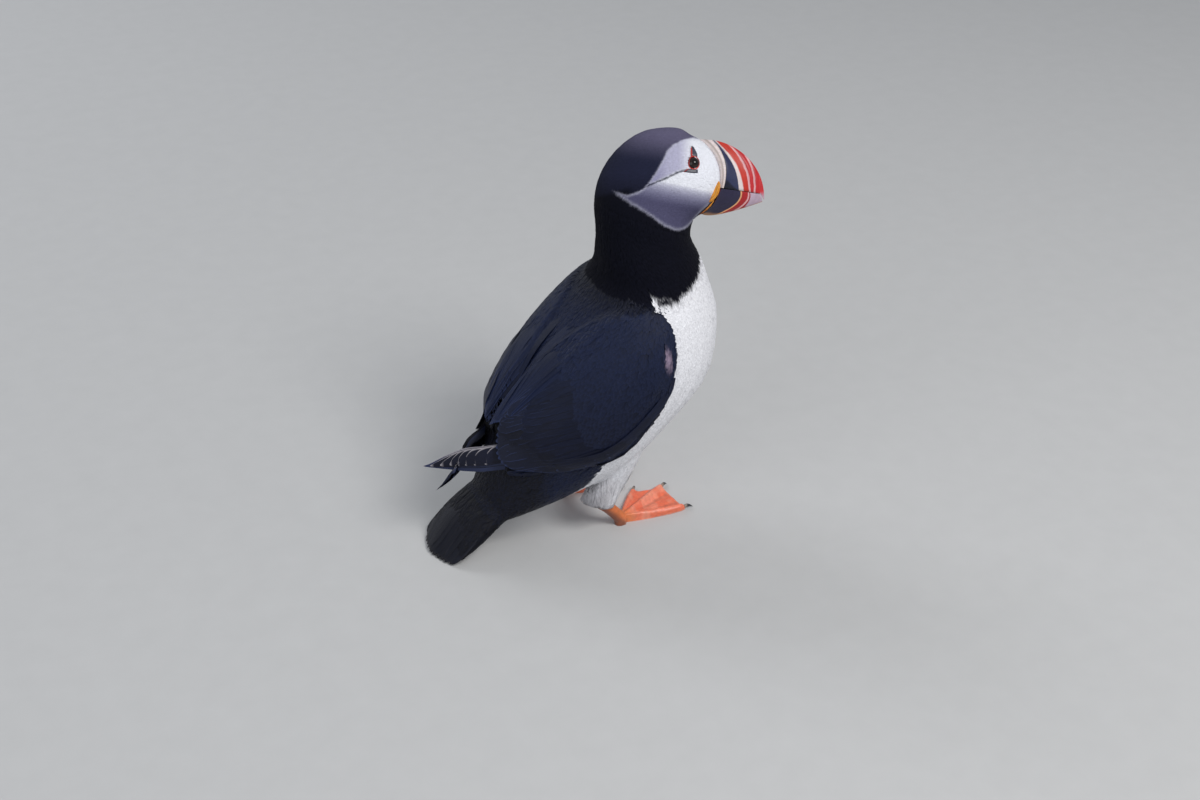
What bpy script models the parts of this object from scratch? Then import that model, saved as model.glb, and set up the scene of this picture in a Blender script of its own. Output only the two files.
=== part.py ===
"""Atlantic puffin, a still life-size figure that stands on both feet and the tip of its tail.

The bird faces +X with its left side at +Y, and its head is turned to its right. All sizes
are millimetres and become metres in add_part(). The flesh (trunk, neck and head) is one
smooth loft from the tail root to the root of the bill, parted by thin cuts.
"""
import math

import bmesh
import bpy
import numpy as np
from mathutils import Matrix

MM = 0.001
GAP = 0.3                       # between pieces that touch
AROUND = 28                     # points round the body loft
COLLECTION = "Atlantic puffin"

# --- driving sizes ---------------------------------------------------------------------
HEAD_AT = (24.2, 6.0, 200.1)    # middle of the head
HEAD_TURN = -28.0               # degrees, to the bird's right
HEAD_ROLL = -20.0               # degrees, crown leans to the left
HEAD_PITCH = -1.3               # degrees, bill raised

# Trunk and neck, tail root to upper neck:
# forward, height, lean of the dorsal side (degrees), half width, depth above, depth below
TRUNK_ROWS = (
    (-84.0, 24.0, 121.0, 20.0, 15.0, 9.5),
    (-72.0, 32.0, 126.0, 26.0, 23.0, 15.5),
    (-55.0, 45.0, 133.0, 34.5, 38.0, 25.5),
    (-34.0, 63.0, 139.0, 46.0, 46.5, 35.0),
    (-13.0, 87.0, 143.0, 51.5, 48.0, 39.5),
    (5.0, 112.0, 149.0, 50.0, 44.0, 47.5),
    (13.5, 136.0, 160.0, 41.5, 35.5, 42.5),
    (14.0, 151.5, 170.0, 32.8, 30.0, 34.3),
    (13.2, 163.0, 169.0, 28.8, 28.8, 31.0),
)
NECK_FROM = 6.55                # row where the trunk is parted from the neck

# Head in its own frame (forward u, up v), nape to face:
# crown u, crown v, throat u, throat v, half width, breadth moved down, bow to the bill's root
HEAD_ROWS = (
    (-36.5, -15.0, 16.5, -31.0, 26.0, 0.00, 0.0),
    (-33.5, 2.0, 17.0, -25.5, 24.5, 0.00, 0.0),
    (-24.2, 16.3, 17.6, -23.5, 23.5, 0.05, 0.0),
    (-10.5, 26.0, 18.2, -22.3, 22.3, 0.12, 0.0),
    (3.0, 28.4, 18.8, -21.2, 20.5, 0.20, 0.0),
    (12.0, 27.5, 20.0, -20.2, 16.8, 0.26, 0.35),
    (18.7, 24.2, 21.8, -18.9, 9.6, 0.30, 1.0),
)
HEAD_FROM = 9.40                # row where the neck is parted from the head

# Bill in the head's frame
ROOT_CENTRE = (12.0, 1.5)       # ellipse along which the bill meets the face
ROOT_AXES = (20.8, 23.0)
RIDGE_ANGLES = (-13.5, 69.5)    # stretch of the ellipse under the band, gape to forehead
LOWER_ANGLES = (-14.5, -60.8)   # stretch of the ellipse behind the lower bill
CULMEN_CENTRE = (22.5, -9.8)    # ellipse of the culmen, from the band to the hooked tip
CULMEN_AXES = (34.3, 31.6)
CULMEN_ANGLES = (79.2, -3.0)
GAPE_BACK = (34.6, -4.1)        # corner of the mouth
GAPE_FRONT = (55.2, -8.0)
GONYS = ((22.6, -18.6), (27.5, -22.2), (54.3, -12.8))
BILL_ROOT_HALF = 8.8            # half width at the corner of the mouth
BILL_TIP_HALF = 1.3
CULMEN_HALF = 1.7
GONYS_HALF = 1.35
BULGE = {"upper": 2.6, "lower": 2.2}  # power of the cheek's curve from mouth to edge
BILL_RINGS = 16
BILL_SIDE = 6
GROOVES = (0.655, 0.785)        # along the upper bill
GROOVE_DEPTH = 0.5
RIDGE_PROUD = 0.5               # how far the band stands out at each side
LOWER_TIP = 0.97                # the hook of the upper bill reaches past the lower

# Eye in the head's frame
EYE_AT = (18.2, 10.1)           # forward, up
EYE_RADIUS = 3.2
EYE_SUNK = 1.7
SOCKET_RADIUS = 3.95
SOCKET_DEPTH = 5.4
LID_RADIUS = 3.15
LID_HALF = 0.4
LID_RISE = 0.35
# Horny plates above and below the eye, outlined from its middle
BROW_PLATE = ((-1.9, 4.2), (1.7, 4.2), (1.1, 7.0), (-0.1, 9.3), (-0.9, 7.2))
UNDER_EYE_PLATE = ((-5.0, -5.3), (3.6, -5.5), (3.7, -4.3), (-4.0, -4.25))
PLATE_PROUD = 0.9

ROSETTE_AT = (28.8, -6.0)
ROSETTE_TILT = -27.0            # degrees
ROSETTE_HALVES = (1.75, 5.6)    # across, along
ROSETTE_LEVELS = ((-1.5, 0.75), (-0.2, 0.95), (0.9, 1.0), (1.6, 0.8), (2.0, 0.45))

# Wing. On the body: row of the body loft, angles of the upper and the lower edge from the
# middle of the back (degrees), and thickness
WING_ON_BODY = (
    (6.25, 58.0, 72.0, 1.0),
    (5.70, 34.0, 83.0, 3.2),
    (5.00, 18.0, 89.5, 4.6),
    (4.00, 9.0, 96.0, 5.4),
    (3.20, 5.0, 93.0, 6.2),
    (2.50, 3.0, 71.0, 6.4),
)
# Behind the body: forward, side and height of the lower and the upper edge, thickness
WING_BEHIND = (
    ((-64.0, 34.5, 57.5), (-86.5, 2.0, 76.0), 4.6),
    ((-82.0, 23.5, 54.5), (-94.0, 0.0, 65.5), 3.0),
    ((-102.0, 6.5, 51.0), (-107.0, -4.0, 57.0), 1.6),
    ((-121.0, -8.6, 51.5), (-121.5, -9.6, 52.5), 0.9),
)
WING_COLUMNS = 7
WING_SINK = 2.0                 # how far the wing's inner face starts inside the body
WING_BOW = 0.20                 # rise of each row behind the body, as a share of its length
LEFT_WING_DROP = 4.0            # the left tip lies under the right one

# Tail
TAIL_ROWS = (                   # along the tail: distance, half width, half thickness
    (0.0, 19.5, 13.0),
    (12.0, 21.5, 11.8),
    (26.0, 22.5, 8.2),
    (38.0, 21.0, 3.2),
    (46.0, 18.0, 0.6),
)
TAIL_UNDER = 0.6                # depth below the middle, as a share of that above
TAIL_FROM = (-84.8, 23.6)       # forward, height
TAIL_DROP = 31.0                # degrees below the horizontal
TAIL_TIPS = 5                   # rounded ends on each half
TAIL_TIP_DEPTH = 1.2
TAIL_THIN = 0.8                 # least thickness, where the tip lies on the ground
TAIL_ROUND = 5.0                # how much shorter the outer feathers are

# Legs
THIGH_RADII = (19.0, 17.0, 13.0, 8.5, 5.6)
TARSUS_RADII = (3.1, 2.9, 2.95, 3.3)
TARSUS_SUNK = 0.2               # share of its length that starts inside the thigh
LEGS = {                        # top of the thigh, joint of the toes, degrees turned in
    "right": ((-18.0, 24.0, 66.0), (-13.5, 23.0), 28.5),
    "left": ((-28.0, 22.5, 66.0), (-31.0, 19.0), -6.0),
}
ANKLE = (-10.0, -0.5, 15.5)     # end of the thigh, seen from the joint of the toes
KNUCKLE_HEIGHT = 6.6
TOES = (                        # angle from the middle toe (outwards), length, radius
    (-21.0, 31.0, 2.1),
    (0.0, 41.5, 2.4),
    (34.0, 37.5, 2.5),
)
WEB_THICK = 1.1
WEB_NOTCH = 0.95                # reach of the web between two toes
HEEL_RADIUS = 5.0
CLAW_LENGTH = 7.0
CLAW_RADIUS = 1.35

BLACK = (0.012, 0.012, 0.018)
WHITE = (0.78, 0.77, 0.75)
GREY = (0.52, 0.52, 0.55)
ORANGE = (0.85, 0.17, 0.04)
RED = (0.72, 0.05, 0.02)
SLATE = (0.06, 0.07, 0.12)
CREAM = (0.72, 0.62, 0.46)
YELLOW = (0.85, 0.38, 0.03)
HORN = (0.03, 0.03, 0.035)
EYE_BROWN = (0.01, 0.008, 0.01)


# --- small tools -----------------------------------------------------------------------
def smooth_row(rows, at):
    """Catmull-Rom value of a table at a fractional row number."""
    rows = np.asarray(rows, float)
    last = len(rows) - 1
    first = min(int(at), last - 1)
    part = at - first
    a, b, c, d = (rows[min(max(first + k, 0), last)] for k in (-1, 0, 1, 2))
    cubic = 3 * (b - c) + d - a
    return b + 0.5 * part * (c - a + part * (2 * a - 5 * b + 4 * c - d + part * cubic))


def bezier(start, middle, end, t):
    start, middle, end = (np.asarray(p, float) for p in (start, middle, end))
    return (1 - t) ** 2 * start + 2 * t * (1 - t) * middle + t ** 2 * end


def mix(a, b, t):
    return a + (b - a) * t


def lateral(side):
    """+1 for the left side of the bird, -1 for the right."""
    return 1.0 if side == "left" else -1.0


def mirrored(points, side):
    return np.asarray(points, float) * (1.0, lateral(side), 1.0)


HEAD_FRAME = (Matrix.Translation(HEAD_AT)
              @ Matrix.Rotation(math.radians(HEAD_TURN), 4, "Z")
              @ Matrix.Rotation(math.radians(HEAD_ROLL), 4, "X")
              @ Matrix.Rotation(math.radians(HEAD_PITCH), 4, "Y"))


def from_head(points):
    """Points in the head's frame (forward, left, up) to the bird's frame."""
    frame = np.array(HEAD_FRAME)
    return np.asarray(points, float) @ frame[:3, :3].T + frame[:3, 3]


def material(name, colour, roughness, metallic=0.0):
    made = bpy.data.materials.new(name)
    made.use_nodes = True
    shader = made.node_tree.nodes["Principled BSDF"]
    shader.inputs["Base Color"].default_value = (*colour, 1.0)
    shader.inputs["Roughness"].default_value = roughness
    shader.inputs["Metallic"].default_value = metallic
    made.diffuse_color = (*colour, 1.0)
    return made


def solid_mesh(name, points, faces):
    """A mesh from points in millimetres, triangulated, with its faces turned outwards."""
    mesh = bpy.data.meshes.new(name)
    mesh.from_pydata([tuple(p) for p in np.asarray(points) * MM], [], faces)
    made = bmesh.new()
    made.from_mesh(mesh)
    bmesh.ops.recalc_face_normals(made, faces=made.faces)
    if made.calc_volume(signed=True) < 0:
        bmesh.ops.reverse_faces(made, faces=made.faces)
    bmesh.ops.triangulate(made, faces=[f for f in made.faces if len(f.verts) > 3])
    made.to_mesh(mesh)
    made.free()
    return mesh


def add_part(name, points, faces, colour, roughness=0.6):
    """A named object with its own material, smooth but for its sharp edges."""
    mesh = solid_mesh(name, points, faces)
    mesh.shade_smooth()
    mesh.set_sharp_from_angle(angle=math.radians(40))
    mesh.materials.append(material(name, colour, roughness))
    made_object = bpy.data.objects.new(name, mesh)
    parts.objects.link(made_object)
    made_object.parent = origin
    return made_object


def tube_faces(rings, around):
    """Quads of a closed tube of rings."""
    return [(r * around + k, r * around + (k + 1) % around,
             (r + 1) * around + (k + 1) % around, (r + 1) * around + k)
            for r in range(rings - 1) for k in range(around)]


def loft(rings, ends=("fan", "fan")):
    """Points and faces of a closed solid through rings of equal count.

    A "fan" end meets at the middle of its ring; a "ladder" end joins each point to its
    mirror image, for a ring that starts at the top and runs round both sides.
    """
    around = len(rings[0])
    points = [tuple(p) for ring in rings for p in ring]
    faces = tube_faces(len(rings), around)
    for end, first in ((ends[0], 0), (ends[1], (len(rings) - 1) * around)):
        if end == "fan":
            points.append(tuple(np.mean(points[first:first + around], axis=0)))
            centre = len(points) - 1
            faces += [(first + k, first + (k + 1) % around, centre) for k in range(around)]
        else:
            half = around // 2
            for k in range(half):
                corners = (first + k, first + k + 1,
                           first + (around - k - 1) % around, first + (around - k) % around)
                faces.append(tuple(dict.fromkeys(corners)))
    return points, faces


def grown_cutter(name, of_object, by):
    """A cutter: the object's mesh moved out along its normals."""
    mesh = of_object.data.copy()
    mesh.name = name
    made = bmesh.new()
    made.from_mesh(mesh)
    made.normal_update()
    for vertex in made.verts:
        vertex.co += vertex.normal * by * MM * vertex.calc_shell_factor()
    made.to_mesh(mesh)
    made.free()
    return add_cutter(name, mesh)


def add_cutter(name, mesh):
    cutter = bpy.data.objects.new(name, mesh)
    cutter.display_type = "WIRE"
    cutter.hide_render = True
    cutters.objects.link(cutter)
    cutter.parent = origin
    return cutter


def cut(part, cutter):
    boolean = part.modifiers.new("cut by " + cutter.name, "BOOLEAN")
    boolean.operation = "DIFFERENCE"
    boolean.solver = "EXACT"
    boolean.object = cutter


# --- trunk, neck and head ----------------------------------------------------------------
def body_ring(row):
    """A ring round the trunk or neck, from the middle of the back round the left side."""
    forward, height, lean, half, above, below = row
    turn = np.linspace(0, 2 * math.pi, AROUND, endpoint=False)
    up = np.cos(turn)
    depth = up * np.where(up > 0, above, below)
    lean = math.radians(lean)
    return np.stack([forward + math.cos(lean) * depth,
                     half * np.sin(turn),
                     height + math.sin(lean) * depth], axis=1)


def root_arc(height, forward=0.0):
    """Forward place of the ellipse along which the bill meets the face."""
    drop = (height - ROOT_CENTRE[1]) / (ROOT_AXES[1] + 0.7 * forward)
    return ROOT_CENTRE[0] + (ROOT_AXES[0] + forward) * np.sqrt(np.maximum(1 - drop ** 2, 0))


def head_ring(row):
    """A ring round the head, in the bird's frame, crown first and round the left side."""
    crown_u, crown_v, throat_u, throat_v, half, egg, bow = row
    turn = np.linspace(0, 2 * math.pi, AROUND, endpoint=False)
    share = (1 + np.cos(turn)) / 2
    forward = mix(throat_u, crown_u, share)
    height = mix(throat_v, crown_v, share)
    forward = mix(forward, root_arc(height), bow)
    side = half * np.sin(turn) * (1 - egg * np.cos(turn))
    return from_head(np.stack([forward, side, height], axis=1))


BODY_NET = np.array([body_ring(row) for row in TRUNK_ROWS]
                    + [head_ring(row) for row in HEAD_ROWS])
BODY_LAST = len(BODY_NET) - 1


def body_rings(start, end, count):
    return [smooth_row(BODY_NET, at) for at in np.linspace(start, end, count)]


def body_point(row, degrees, side):
    """A point of the body's surface, at an angle from the middle of the back."""
    ring = smooth_row(BODY_NET, row)
    at = (degrees / 360 * AROUND * lateral(side)) % AROUND
    first = int(at)
    return mix(ring[first], ring[(first + 1) % AROUND], at - first)


def body_piece(start, end, count, ends=("fan", "fan")):
    """A closed length of the body, its two end faces drawn in by half a gap."""
    rings = body_rings(start, end, count)
    for ring, inward in ((rings[0], 0.5), (rings[-1], -0.5)):
        across = ring[0] - ring[len(ring) // 2]
        normal = np.cross(ring[len(ring) // 4] - ring[3 * len(ring) // 4], across)
        along = rings[-1].mean(axis=0) - rings[0].mean(axis=0)
        normal *= np.sign(normal @ along) / np.linalg.norm(normal)
        ring += normal * GAP * inward
    return loft(rings, ends)


def make_body():
    trunk = add_part("trunk", *body_piece(0, NECK_FROM, 20), WHITE)
    add_part("neck", *body_piece(NECK_FROM, HEAD_FROM, 8), BLACK)
    head = add_part("head", *body_piece(HEAD_FROM, BODY_LAST, 15, ("fan", "ladder")), GREY)
    return trunk, head


# --- bill --------------------------------------------------------------------------------
def root_point(degrees, forward):
    """A point of the ellipse where the bill meets the face, moved out by a gap."""
    turn = math.radians(degrees)
    return np.array([ROOT_CENTRE[0] + (ROOT_AXES[0] + forward) * math.cos(turn),
                     ROOT_CENTRE[1] + (ROOT_AXES[1] + forward) * math.sin(turn)])


def culmen(share):
    turn = math.radians(mix(*CULMEN_ANGLES, share))
    return np.array([CULMEN_CENTRE[0] + CULMEN_AXES[0] * math.cos(turn),
                     CULMEN_CENTRE[1] + CULMEN_AXES[1] * math.sin(turn)])


def gape(along, drop=0.0):
    return mix(np.array(GAPE_BACK), np.array(GAPE_FRONT), along) - (0.0, drop)


def upper_arc(along, share):
    """Side view of the upper bill: along from root to tip, share from gape to culmen."""
    low = gape(along)
    high = culmen(along ** 4.4)
    push = smooth_row([(4.3,), (1.2,), (-1.6,), (0.6,), (0.5,)], along * 4)[0]
    return bezier(low, (low[0] + push, mix(low[1], high[1], 0.6)), high, share)


def lower_arc(along, share):
    """Side view of the lower bill: share from gape to the lower edge."""
    low = bezier(*GONYS, smooth_row([(0.0,), (0.03,), (0.12,), (0.52,), (1.0,)], along * 4)[0])
    high = gape(along, GAP)
    push = smooth_row([(-4.0,), (-2.4,), (-0.8,), (-0.2,), (0.2,)], along * 4)[0]
    arc = bezier(high, (high[0] + push, mix(high[1], low[1], 0.55)), low, share)
    return mix(root_point(mix(*LOWER_ANGLES, share), 1.6 * GAP), arc, min(1.0, 3 * along))


def bill_half(along, share, half_of_edge, bulge, groove_depth=0.0):
    """Half width of the bill, widest at the gape, thin along its outer edge."""
    widest = mix(BILL_ROOT_HALF, BILL_TIP_HALF, along ** 1.15)
    edge = half_of_edge * mix(1.0, 0.45, along)
    groove = sum(math.exp(-((along - at) / 0.022) ** 2) for at in GROOVES) * groove_depth
    fade = min(1.0, 4 * share + 0.3) * min(1.0, 5 * (1 - share))
    return edge + (widest - edge) * (1 - share ** bulge) - groove * fade


def two_sided(profile, halves):
    """A ring in the head's frame from a side profile and the half width at each point."""
    left = [(u, half, v) for (u, v), half in zip(profile, halves)]
    right = [(u, -half, v) for (u, v), half in zip(profile, halves)]
    return from_head(left + right[::-1])


def bill_solid(name, arc, alongs, colour, *section):
    rings = []
    for along in alongs:
        shares = np.linspace(0, 1, BILL_SIDE + 1)
        halves = [bill_half(along, share, *section) for share in shares]
        rings.append(two_sided([arc(along, share) for share in shares], halves))
    return add_part(name, *ladder_loft(rings), colour, 0.35)


def ladder_loft(rings):
    """A loft whose rings are one side followed by the other in reverse order."""
    around = len(rings[0])
    points = [tuple(p) for ring in rings for p in ring]
    faces = tube_faces(len(rings), around)
    for first in (0, (len(rings) - 1) * around):
        faces += [(first + k, first + k + 1, first + around - k - 2, first + around - k - 1)
                  for k in range(around // 2 - 1)]
    return points, faces


def make_ridge():
    """The raised band round the root of the upper bill."""
    rings = []
    for share in np.linspace(0, 1, BILL_SIDE * 2 + 1):
        front = upper_arc(0.0, share) - (GAP, 0.0)
        back = root_point(mix(*RIDGE_ANGLES, share), GAP)
        half = bill_half(0.0, share, CULMEN_HALF, BULGE["upper"]) + RIDGE_PROUD
        halves = (half, half + 0.7 * RIDGE_PROUD, half)
        rings.append(two_sided([mix(back, front, t) for t in (0.0, 0.5, 1.0)], halves))
    add_part("bill_ridge", *ladder_loft(rings), CREAM, 0.45)


def make_bill():
    make_ridge()
    bill_solid("bill_upper", upper_arc, np.linspace(0, 1, BILL_RINGS), RED,
               CULMEN_HALF, BULGE["upper"], GROOVE_DEPTH)
    bill_solid("bill_lower", lower_arc, np.linspace(0, LOWER_TIP, BILL_RINGS // 2), SLATE,
               GONYS_HALF, BULGE["lower"])


# --- eyes and ornaments ------------------------------------------------------------------
def head_side(forward, height, side):
    """Place on the head's side, and the frame (along, up, out) of its surface there."""
    rows = np.linspace(HEAD_FROM, BODY_LAST, 41)
    inverse = np.array(HEAD_FRAME.inverted())
    surface = []
    for row in rows:
        ring = smooth_row(BODY_NET, row)[:AROUND // 2 + 1]
        surface.append(ring @ inverse[:3, :3].T + inverse[:3, 3])
    surface = np.array(surface)
    flat = surface.reshape(-1, 3)
    distance = np.hypot(flat[:, 0] - forward, flat[:, 2] - height)
    near = flat[np.argsort(distance)[:14]]
    terms = np.stack([near[:, 0] - forward, near[:, 2] - height, np.ones(len(near))], axis=1)
    slope_u, slope_v, out = np.linalg.lstsq(terms, near[:, 1], rcond=None)[0]
    normal = np.array([-slope_u, 1.0, -slope_v])
    normal /= np.linalg.norm(normal)
    along = np.array([1.0, slope_u, 0.0])
    along /= np.linalg.norm(along)
    up = np.cross(along, normal)
    flip = np.array([1.0, lateral(side), 1.0])
    return np.array([forward, out, height]) * flip, along * flip, up * flip, normal * flip


def on_side(frame, points):
    """Points given as (along, up, out) of a surface frame, in the bird's frame."""
    place, along, up, normal = frame
    points = np.asarray(points, float)
    local = place + points[:, :1] * along + points[:, 1:2] * up + points[:, 2:] * normal
    return from_head(local)


def ball(frame, radius, sunk, around=16, rings=6):
    turns = np.linspace(0, 2 * math.pi, around, endpoint=False)
    levels = np.linspace(0, math.pi, rings + 2)[1:-1]
    made = [on_side(frame, np.stack([radius * math.sin(level) * np.cos(turns),
                                     radius * math.sin(level) * np.sin(turns),
                                     np.full(around, -sunk + radius * math.cos(level))], axis=1))
            for level in levels]
    points, faces = loft(made)
    points[-2] = on_side(frame, [(0, 0, radius - sunk)])[0]
    points[-1] = on_side(frame, [(0, 0, -radius - sunk)])[0]
    return points, faces


def prism(frame, outline, low, high):
    outline = np.asarray(outline, float)
    return loft([on_side(frame, np.column_stack([outline, np.full(len(outline), level)]))
                 for level in (low, high)])


def circle(radius, around=16):
    turns = np.linspace(0, 2 * math.pi, around, endpoint=False)
    return np.stack([radius * np.cos(turns), radius * np.sin(turns)], axis=1)


def lid_ring(frame, around=16, section=6):
    """A ring of flesh round the eye."""
    points = []
    for turn in np.linspace(0, 2 * math.pi, around, endpoint=False):
        for bend in np.linspace(0, 2 * math.pi, section, endpoint=False):
            out = LID_RADIUS + LID_HALF * math.cos(bend)
            points.append((out * math.cos(turn), out * math.sin(turn),
                           LID_RISE + LID_HALF * math.sin(bend)))
    faces = [(a * section + b, a * section + (b + 1) % section,
              (a + 1) % around * section + (b + 1) % section, (a + 1) % around * section + b)
             for a in range(around) for b in range(section)]
    return on_side(frame, points), faces


def make_eye(side, head, head_skin):
    frame = head_side(*EYE_AT, side)
    add_part("eye_" + side, *ball(frame, EYE_RADIUS, EYE_SUNK), EYE_BROWN, 0.05)
    add_part("eyelid_" + side, *lid_ring(frame), RED, 0.5)
    socket = prism(frame, circle(SOCKET_RADIUS), -SOCKET_DEPTH, SOCKET_DEPTH)
    cut(head, add_cutter("socket " + side, solid_mesh("socket " + side, *socket)))
    for name, outline in (("brow_plate_", BROW_PLATE), ("under_eye_plate_", UNDER_EYE_PLATE)):
        plate = add_part(name + side, *prism(frame, outline, -PLATE_PROUD, PLATE_PROUD),
                         SLATE, 0.5)
        cut(plate, head_skin)


def make_rosette(side, head_skin):
    """The soft pad at the corner of the mouth."""
    frame = head_side(*ROSETTE_AT, side)
    turns = np.linspace(0, 2 * math.pi, 16, endpoint=False)
    tilt = math.radians(ROSETTE_TILT)
    rings = []
    for level, size in ROSETTE_LEVELS:
        across = ROSETTE_HALVES[0] * size * np.cos(turns)
        tall = ROSETTE_HALVES[1] * size * np.sin(turns)
        rings.append(on_side(frame, np.stack([across * math.cos(tilt) - tall * math.sin(tilt),
                                              across * math.sin(tilt) + tall * math.cos(tilt),
                                              np.full(16, level)], axis=1)))
    rosette = add_part("gape_rosette_" + side, *loft(rings), YELLOW, 0.55)
    cut(rosette, head_skin)


# --- wings -------------------------------------------------------------------------------
def body_normal(row, degrees, side):
    along = body_point(row + 0.05, degrees, side) - body_point(row - 0.05, degrees, side)
    around = body_point(row, degrees + 5, side) - body_point(row, degrees - 5, side)
    normal = np.cross(along, around) * lateral(side)
    return normal / np.linalg.norm(normal)


def wing_row_on_body(entry, side):
    """Top surface of the wing across the body, lower to upper edge, and its depth."""
    row, upper, lower, thick = entry
    angles = np.linspace(lower, upper, WING_COLUMNS)
    rounded = thick * (1 - 0.45 * np.abs(np.linspace(-1, 1, WING_COLUMNS)) ** 3)[:, None]
    skin = np.array([body_point(row, angle, side) for angle in angles])
    out = np.array([body_normal(row, angle, side) for angle in angles])
    return skin + out * rounded, rounded + WING_SINK


def wing_row_behind(number, side):
    """Top surface of the free end of the wing, and its depth."""
    lower, upper, thick = WING_BEHIND[number]
    span = np.subtract(upper, lower)
    across = np.linspace(0, 1, WING_COLUMNS)[:, None]
    outward = np.cross((-1.0, 0.0, 0.0), span)
    bow = outward * WING_BOW * 4 * across * (1 - across)
    row = np.array(lower) + span * across + bow
    if side == "left":
        row = row - (0.0, 0.0, LEFT_WING_DROP * (number / (len(WING_BEHIND) - 1)) ** 0.5)
    return mirrored(row, side), np.full((WING_COLUMNS, 1), thick)


def wing_rows(side):
    """Top surface and depth of the whole wing, from the bend to the tip."""
    last = len(WING_ON_BODY) - 1
    rows = [wing_row_on_body(smooth_row(WING_ON_BODY, at), side)
            for at in np.linspace(0, last, 14)]
    net = [wing_row_on_body(entry, side) for entry in WING_ON_BODY[-2:]]
    net += [wing_row_behind(number, side) for number in range(len(WING_BEHIND))]
    tops = np.array([top for top, depth in net])
    depths = np.array([depth for top, depth in net])
    for at in np.linspace(1, len(net) - 1, 13)[1:]:
        rows.append((smooth_row(tops, at), smooth_row(depths, at)))
    return rows


def make_wing(side, trunk_skin):
    rows = wing_rows(side)
    top = np.array([row for row, depth in rows])
    depth = np.array([depth for row, depth in rows])
    normal = np.cross(np.gradient(top, axis=0), np.gradient(top, axis=1)) * lateral(side)
    normal /= np.linalg.norm(normal, axis=2, keepdims=True)
    bottom = top - normal * depth
    rings = [np.concatenate([up, low[::-1]]) for up, low in zip(top, bottom)]
    wing = add_part("wing_" + side, *ladder_loft(rings), BLACK, 0.6)
    if side == "left":
        cut(wing, bpy.data.objects["right wing skin"])
    else:
        grown_cutter("right wing skin", wing, GAP)
    cut(wing, trunk_skin)


# --- tail --------------------------------------------------------------------------------
def make_tail():
    drop = math.radians(TAIL_DROP)
    ahead = np.array([-math.cos(drop), 0.0, -math.sin(drop)])
    above = np.array([-math.sin(drop), 0.0, math.cos(drop)])
    start = np.array([TAIL_FROM[0], 0.0, TAIL_FROM[1]])
    turns = np.linspace(0, 2 * math.pi, 4 * TAIL_TIPS + 8, endpoint=False)
    rings = []
    for at in np.linspace(0, len(TAIL_ROWS) - 1, 9):
        distance, half, thick = smooth_row(TAIL_ROWS, at)
        share = distance / TAIL_ROWS[-1][0]
        side = half * np.sin(turns)
        tips = TAIL_TIP_DEPTH * np.abs(np.sin(np.linspace(0, 2 * math.pi, len(turns)) * TAIL_TIPS))
        back = (TAIL_ROUND * np.sin(turns) ** 2 + tips) * share ** 3
        up = np.cos(turns)
        lift = thick * up * np.where(up > 0, 1.0, TAIL_UNDER) - 2.0 * share * np.sin(turns) ** 2
        ring = (start + np.outer(distance - back, ahead) + np.outer(lift, above)
                + np.outer(side, (0.0, 1.0, 0.0)))
        ring[:, 2] = np.maximum(ring[:, 2], np.where(up < 0, 0.0, TAIL_THIN))
        rings.append(ring)
    add_part("tail", *loft(rings), BLACK, 0.6)


# --- legs and feet -----------------------------------------------------------------------
def limb_rings(start, end, radii, around):
    """Rings square to a straight line, evenly spaced from start to end."""
    start, end = np.asarray(start, float), np.asarray(end, float)
    axis = (end - start) / np.linalg.norm(end - start)
    side = np.cross(axis, (1.0, 0.0, 0.0))
    side /= np.linalg.norm(side)
    front = np.cross(side, axis)
    turns = np.linspace(0, 2 * math.pi, around, endpoint=False)
    return [mix(start, end, share) + np.outer(radius * np.cos(turns), side)
            + np.outer(radius * np.sin(turns), front)
            for share, radius in zip(np.linspace(0, 1, len(radii)), radii)]


def toe_frame(side):
    """Place of the toes' joint on the ground, and the heading of the middle toe."""
    top, joint, turned_in = LEGS[side]
    place = mirrored([(joint[0], joint[1], 0.0)], side)[0]
    return place, -lateral(side) * math.radians(turned_in)


def foot_reach(degrees):
    """How far the foot reaches from the toe joint, at an angle from the middle toe."""
    first, last = TOES[0], TOES[-1]
    reach = HEEL_RADIUS
    for angle, length, radius in TOES:
        away = abs(degrees - angle)
        width = math.degrees(radius * 1.25 / length)
        reach = max(reach, length * math.sqrt(max(0.0, 1 - (away / (width * 1.4)) ** 2)))
    if first[0] < degrees < last[0]:
        inner, outer = (first, TOES[1]) if degrees < 0 else (TOES[1], last)
        share = (degrees - inner[0]) / (outer[0] - inner[0])
        chord = 1 / mix(1 / inner[1], 1 / outer[1], share)
        reach = max(reach, chord * (1 - (1 - WEB_NOTCH) * math.sin(math.pi * share) ** 0.7))
    return reach


def foot_height(degrees, distance):
    """Height of the foot's upper side: toes, web and the joint that joins them."""
    height = WEB_THICK
    for angle, length, radius in TOES:
        away = math.radians(abs(degrees - angle)) * distance
        body = radius * 1.5 * (1 - 0.35 * distance / length)
        height = max(height, WEB_THICK + (2 * body - WEB_THICK) * math.exp(-(away / radius) ** 2))
    dome = KNUCKLE_HEIGHT * math.exp(-(distance / 6.5) ** 2)
    return max(height, dome)


def foot_angles():
    """Angles round the toe joint, closer together over the toes."""
    front = [t + k for t, _, _ in TOES for k in (-6.0, -3.5, 0.0, 3.5, 6.0)]
    webs = [mix(TOES[n][0], TOES[n + 1][0], s) for n in (0, 1) for s in (0.32, 0.5, 0.68)]
    heel = list(np.linspace(TOES[-1][0] + 35.0, 360.0 + TOES[0][0] - 35.0, 7))
    return sorted(front + webs) + heel


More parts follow.
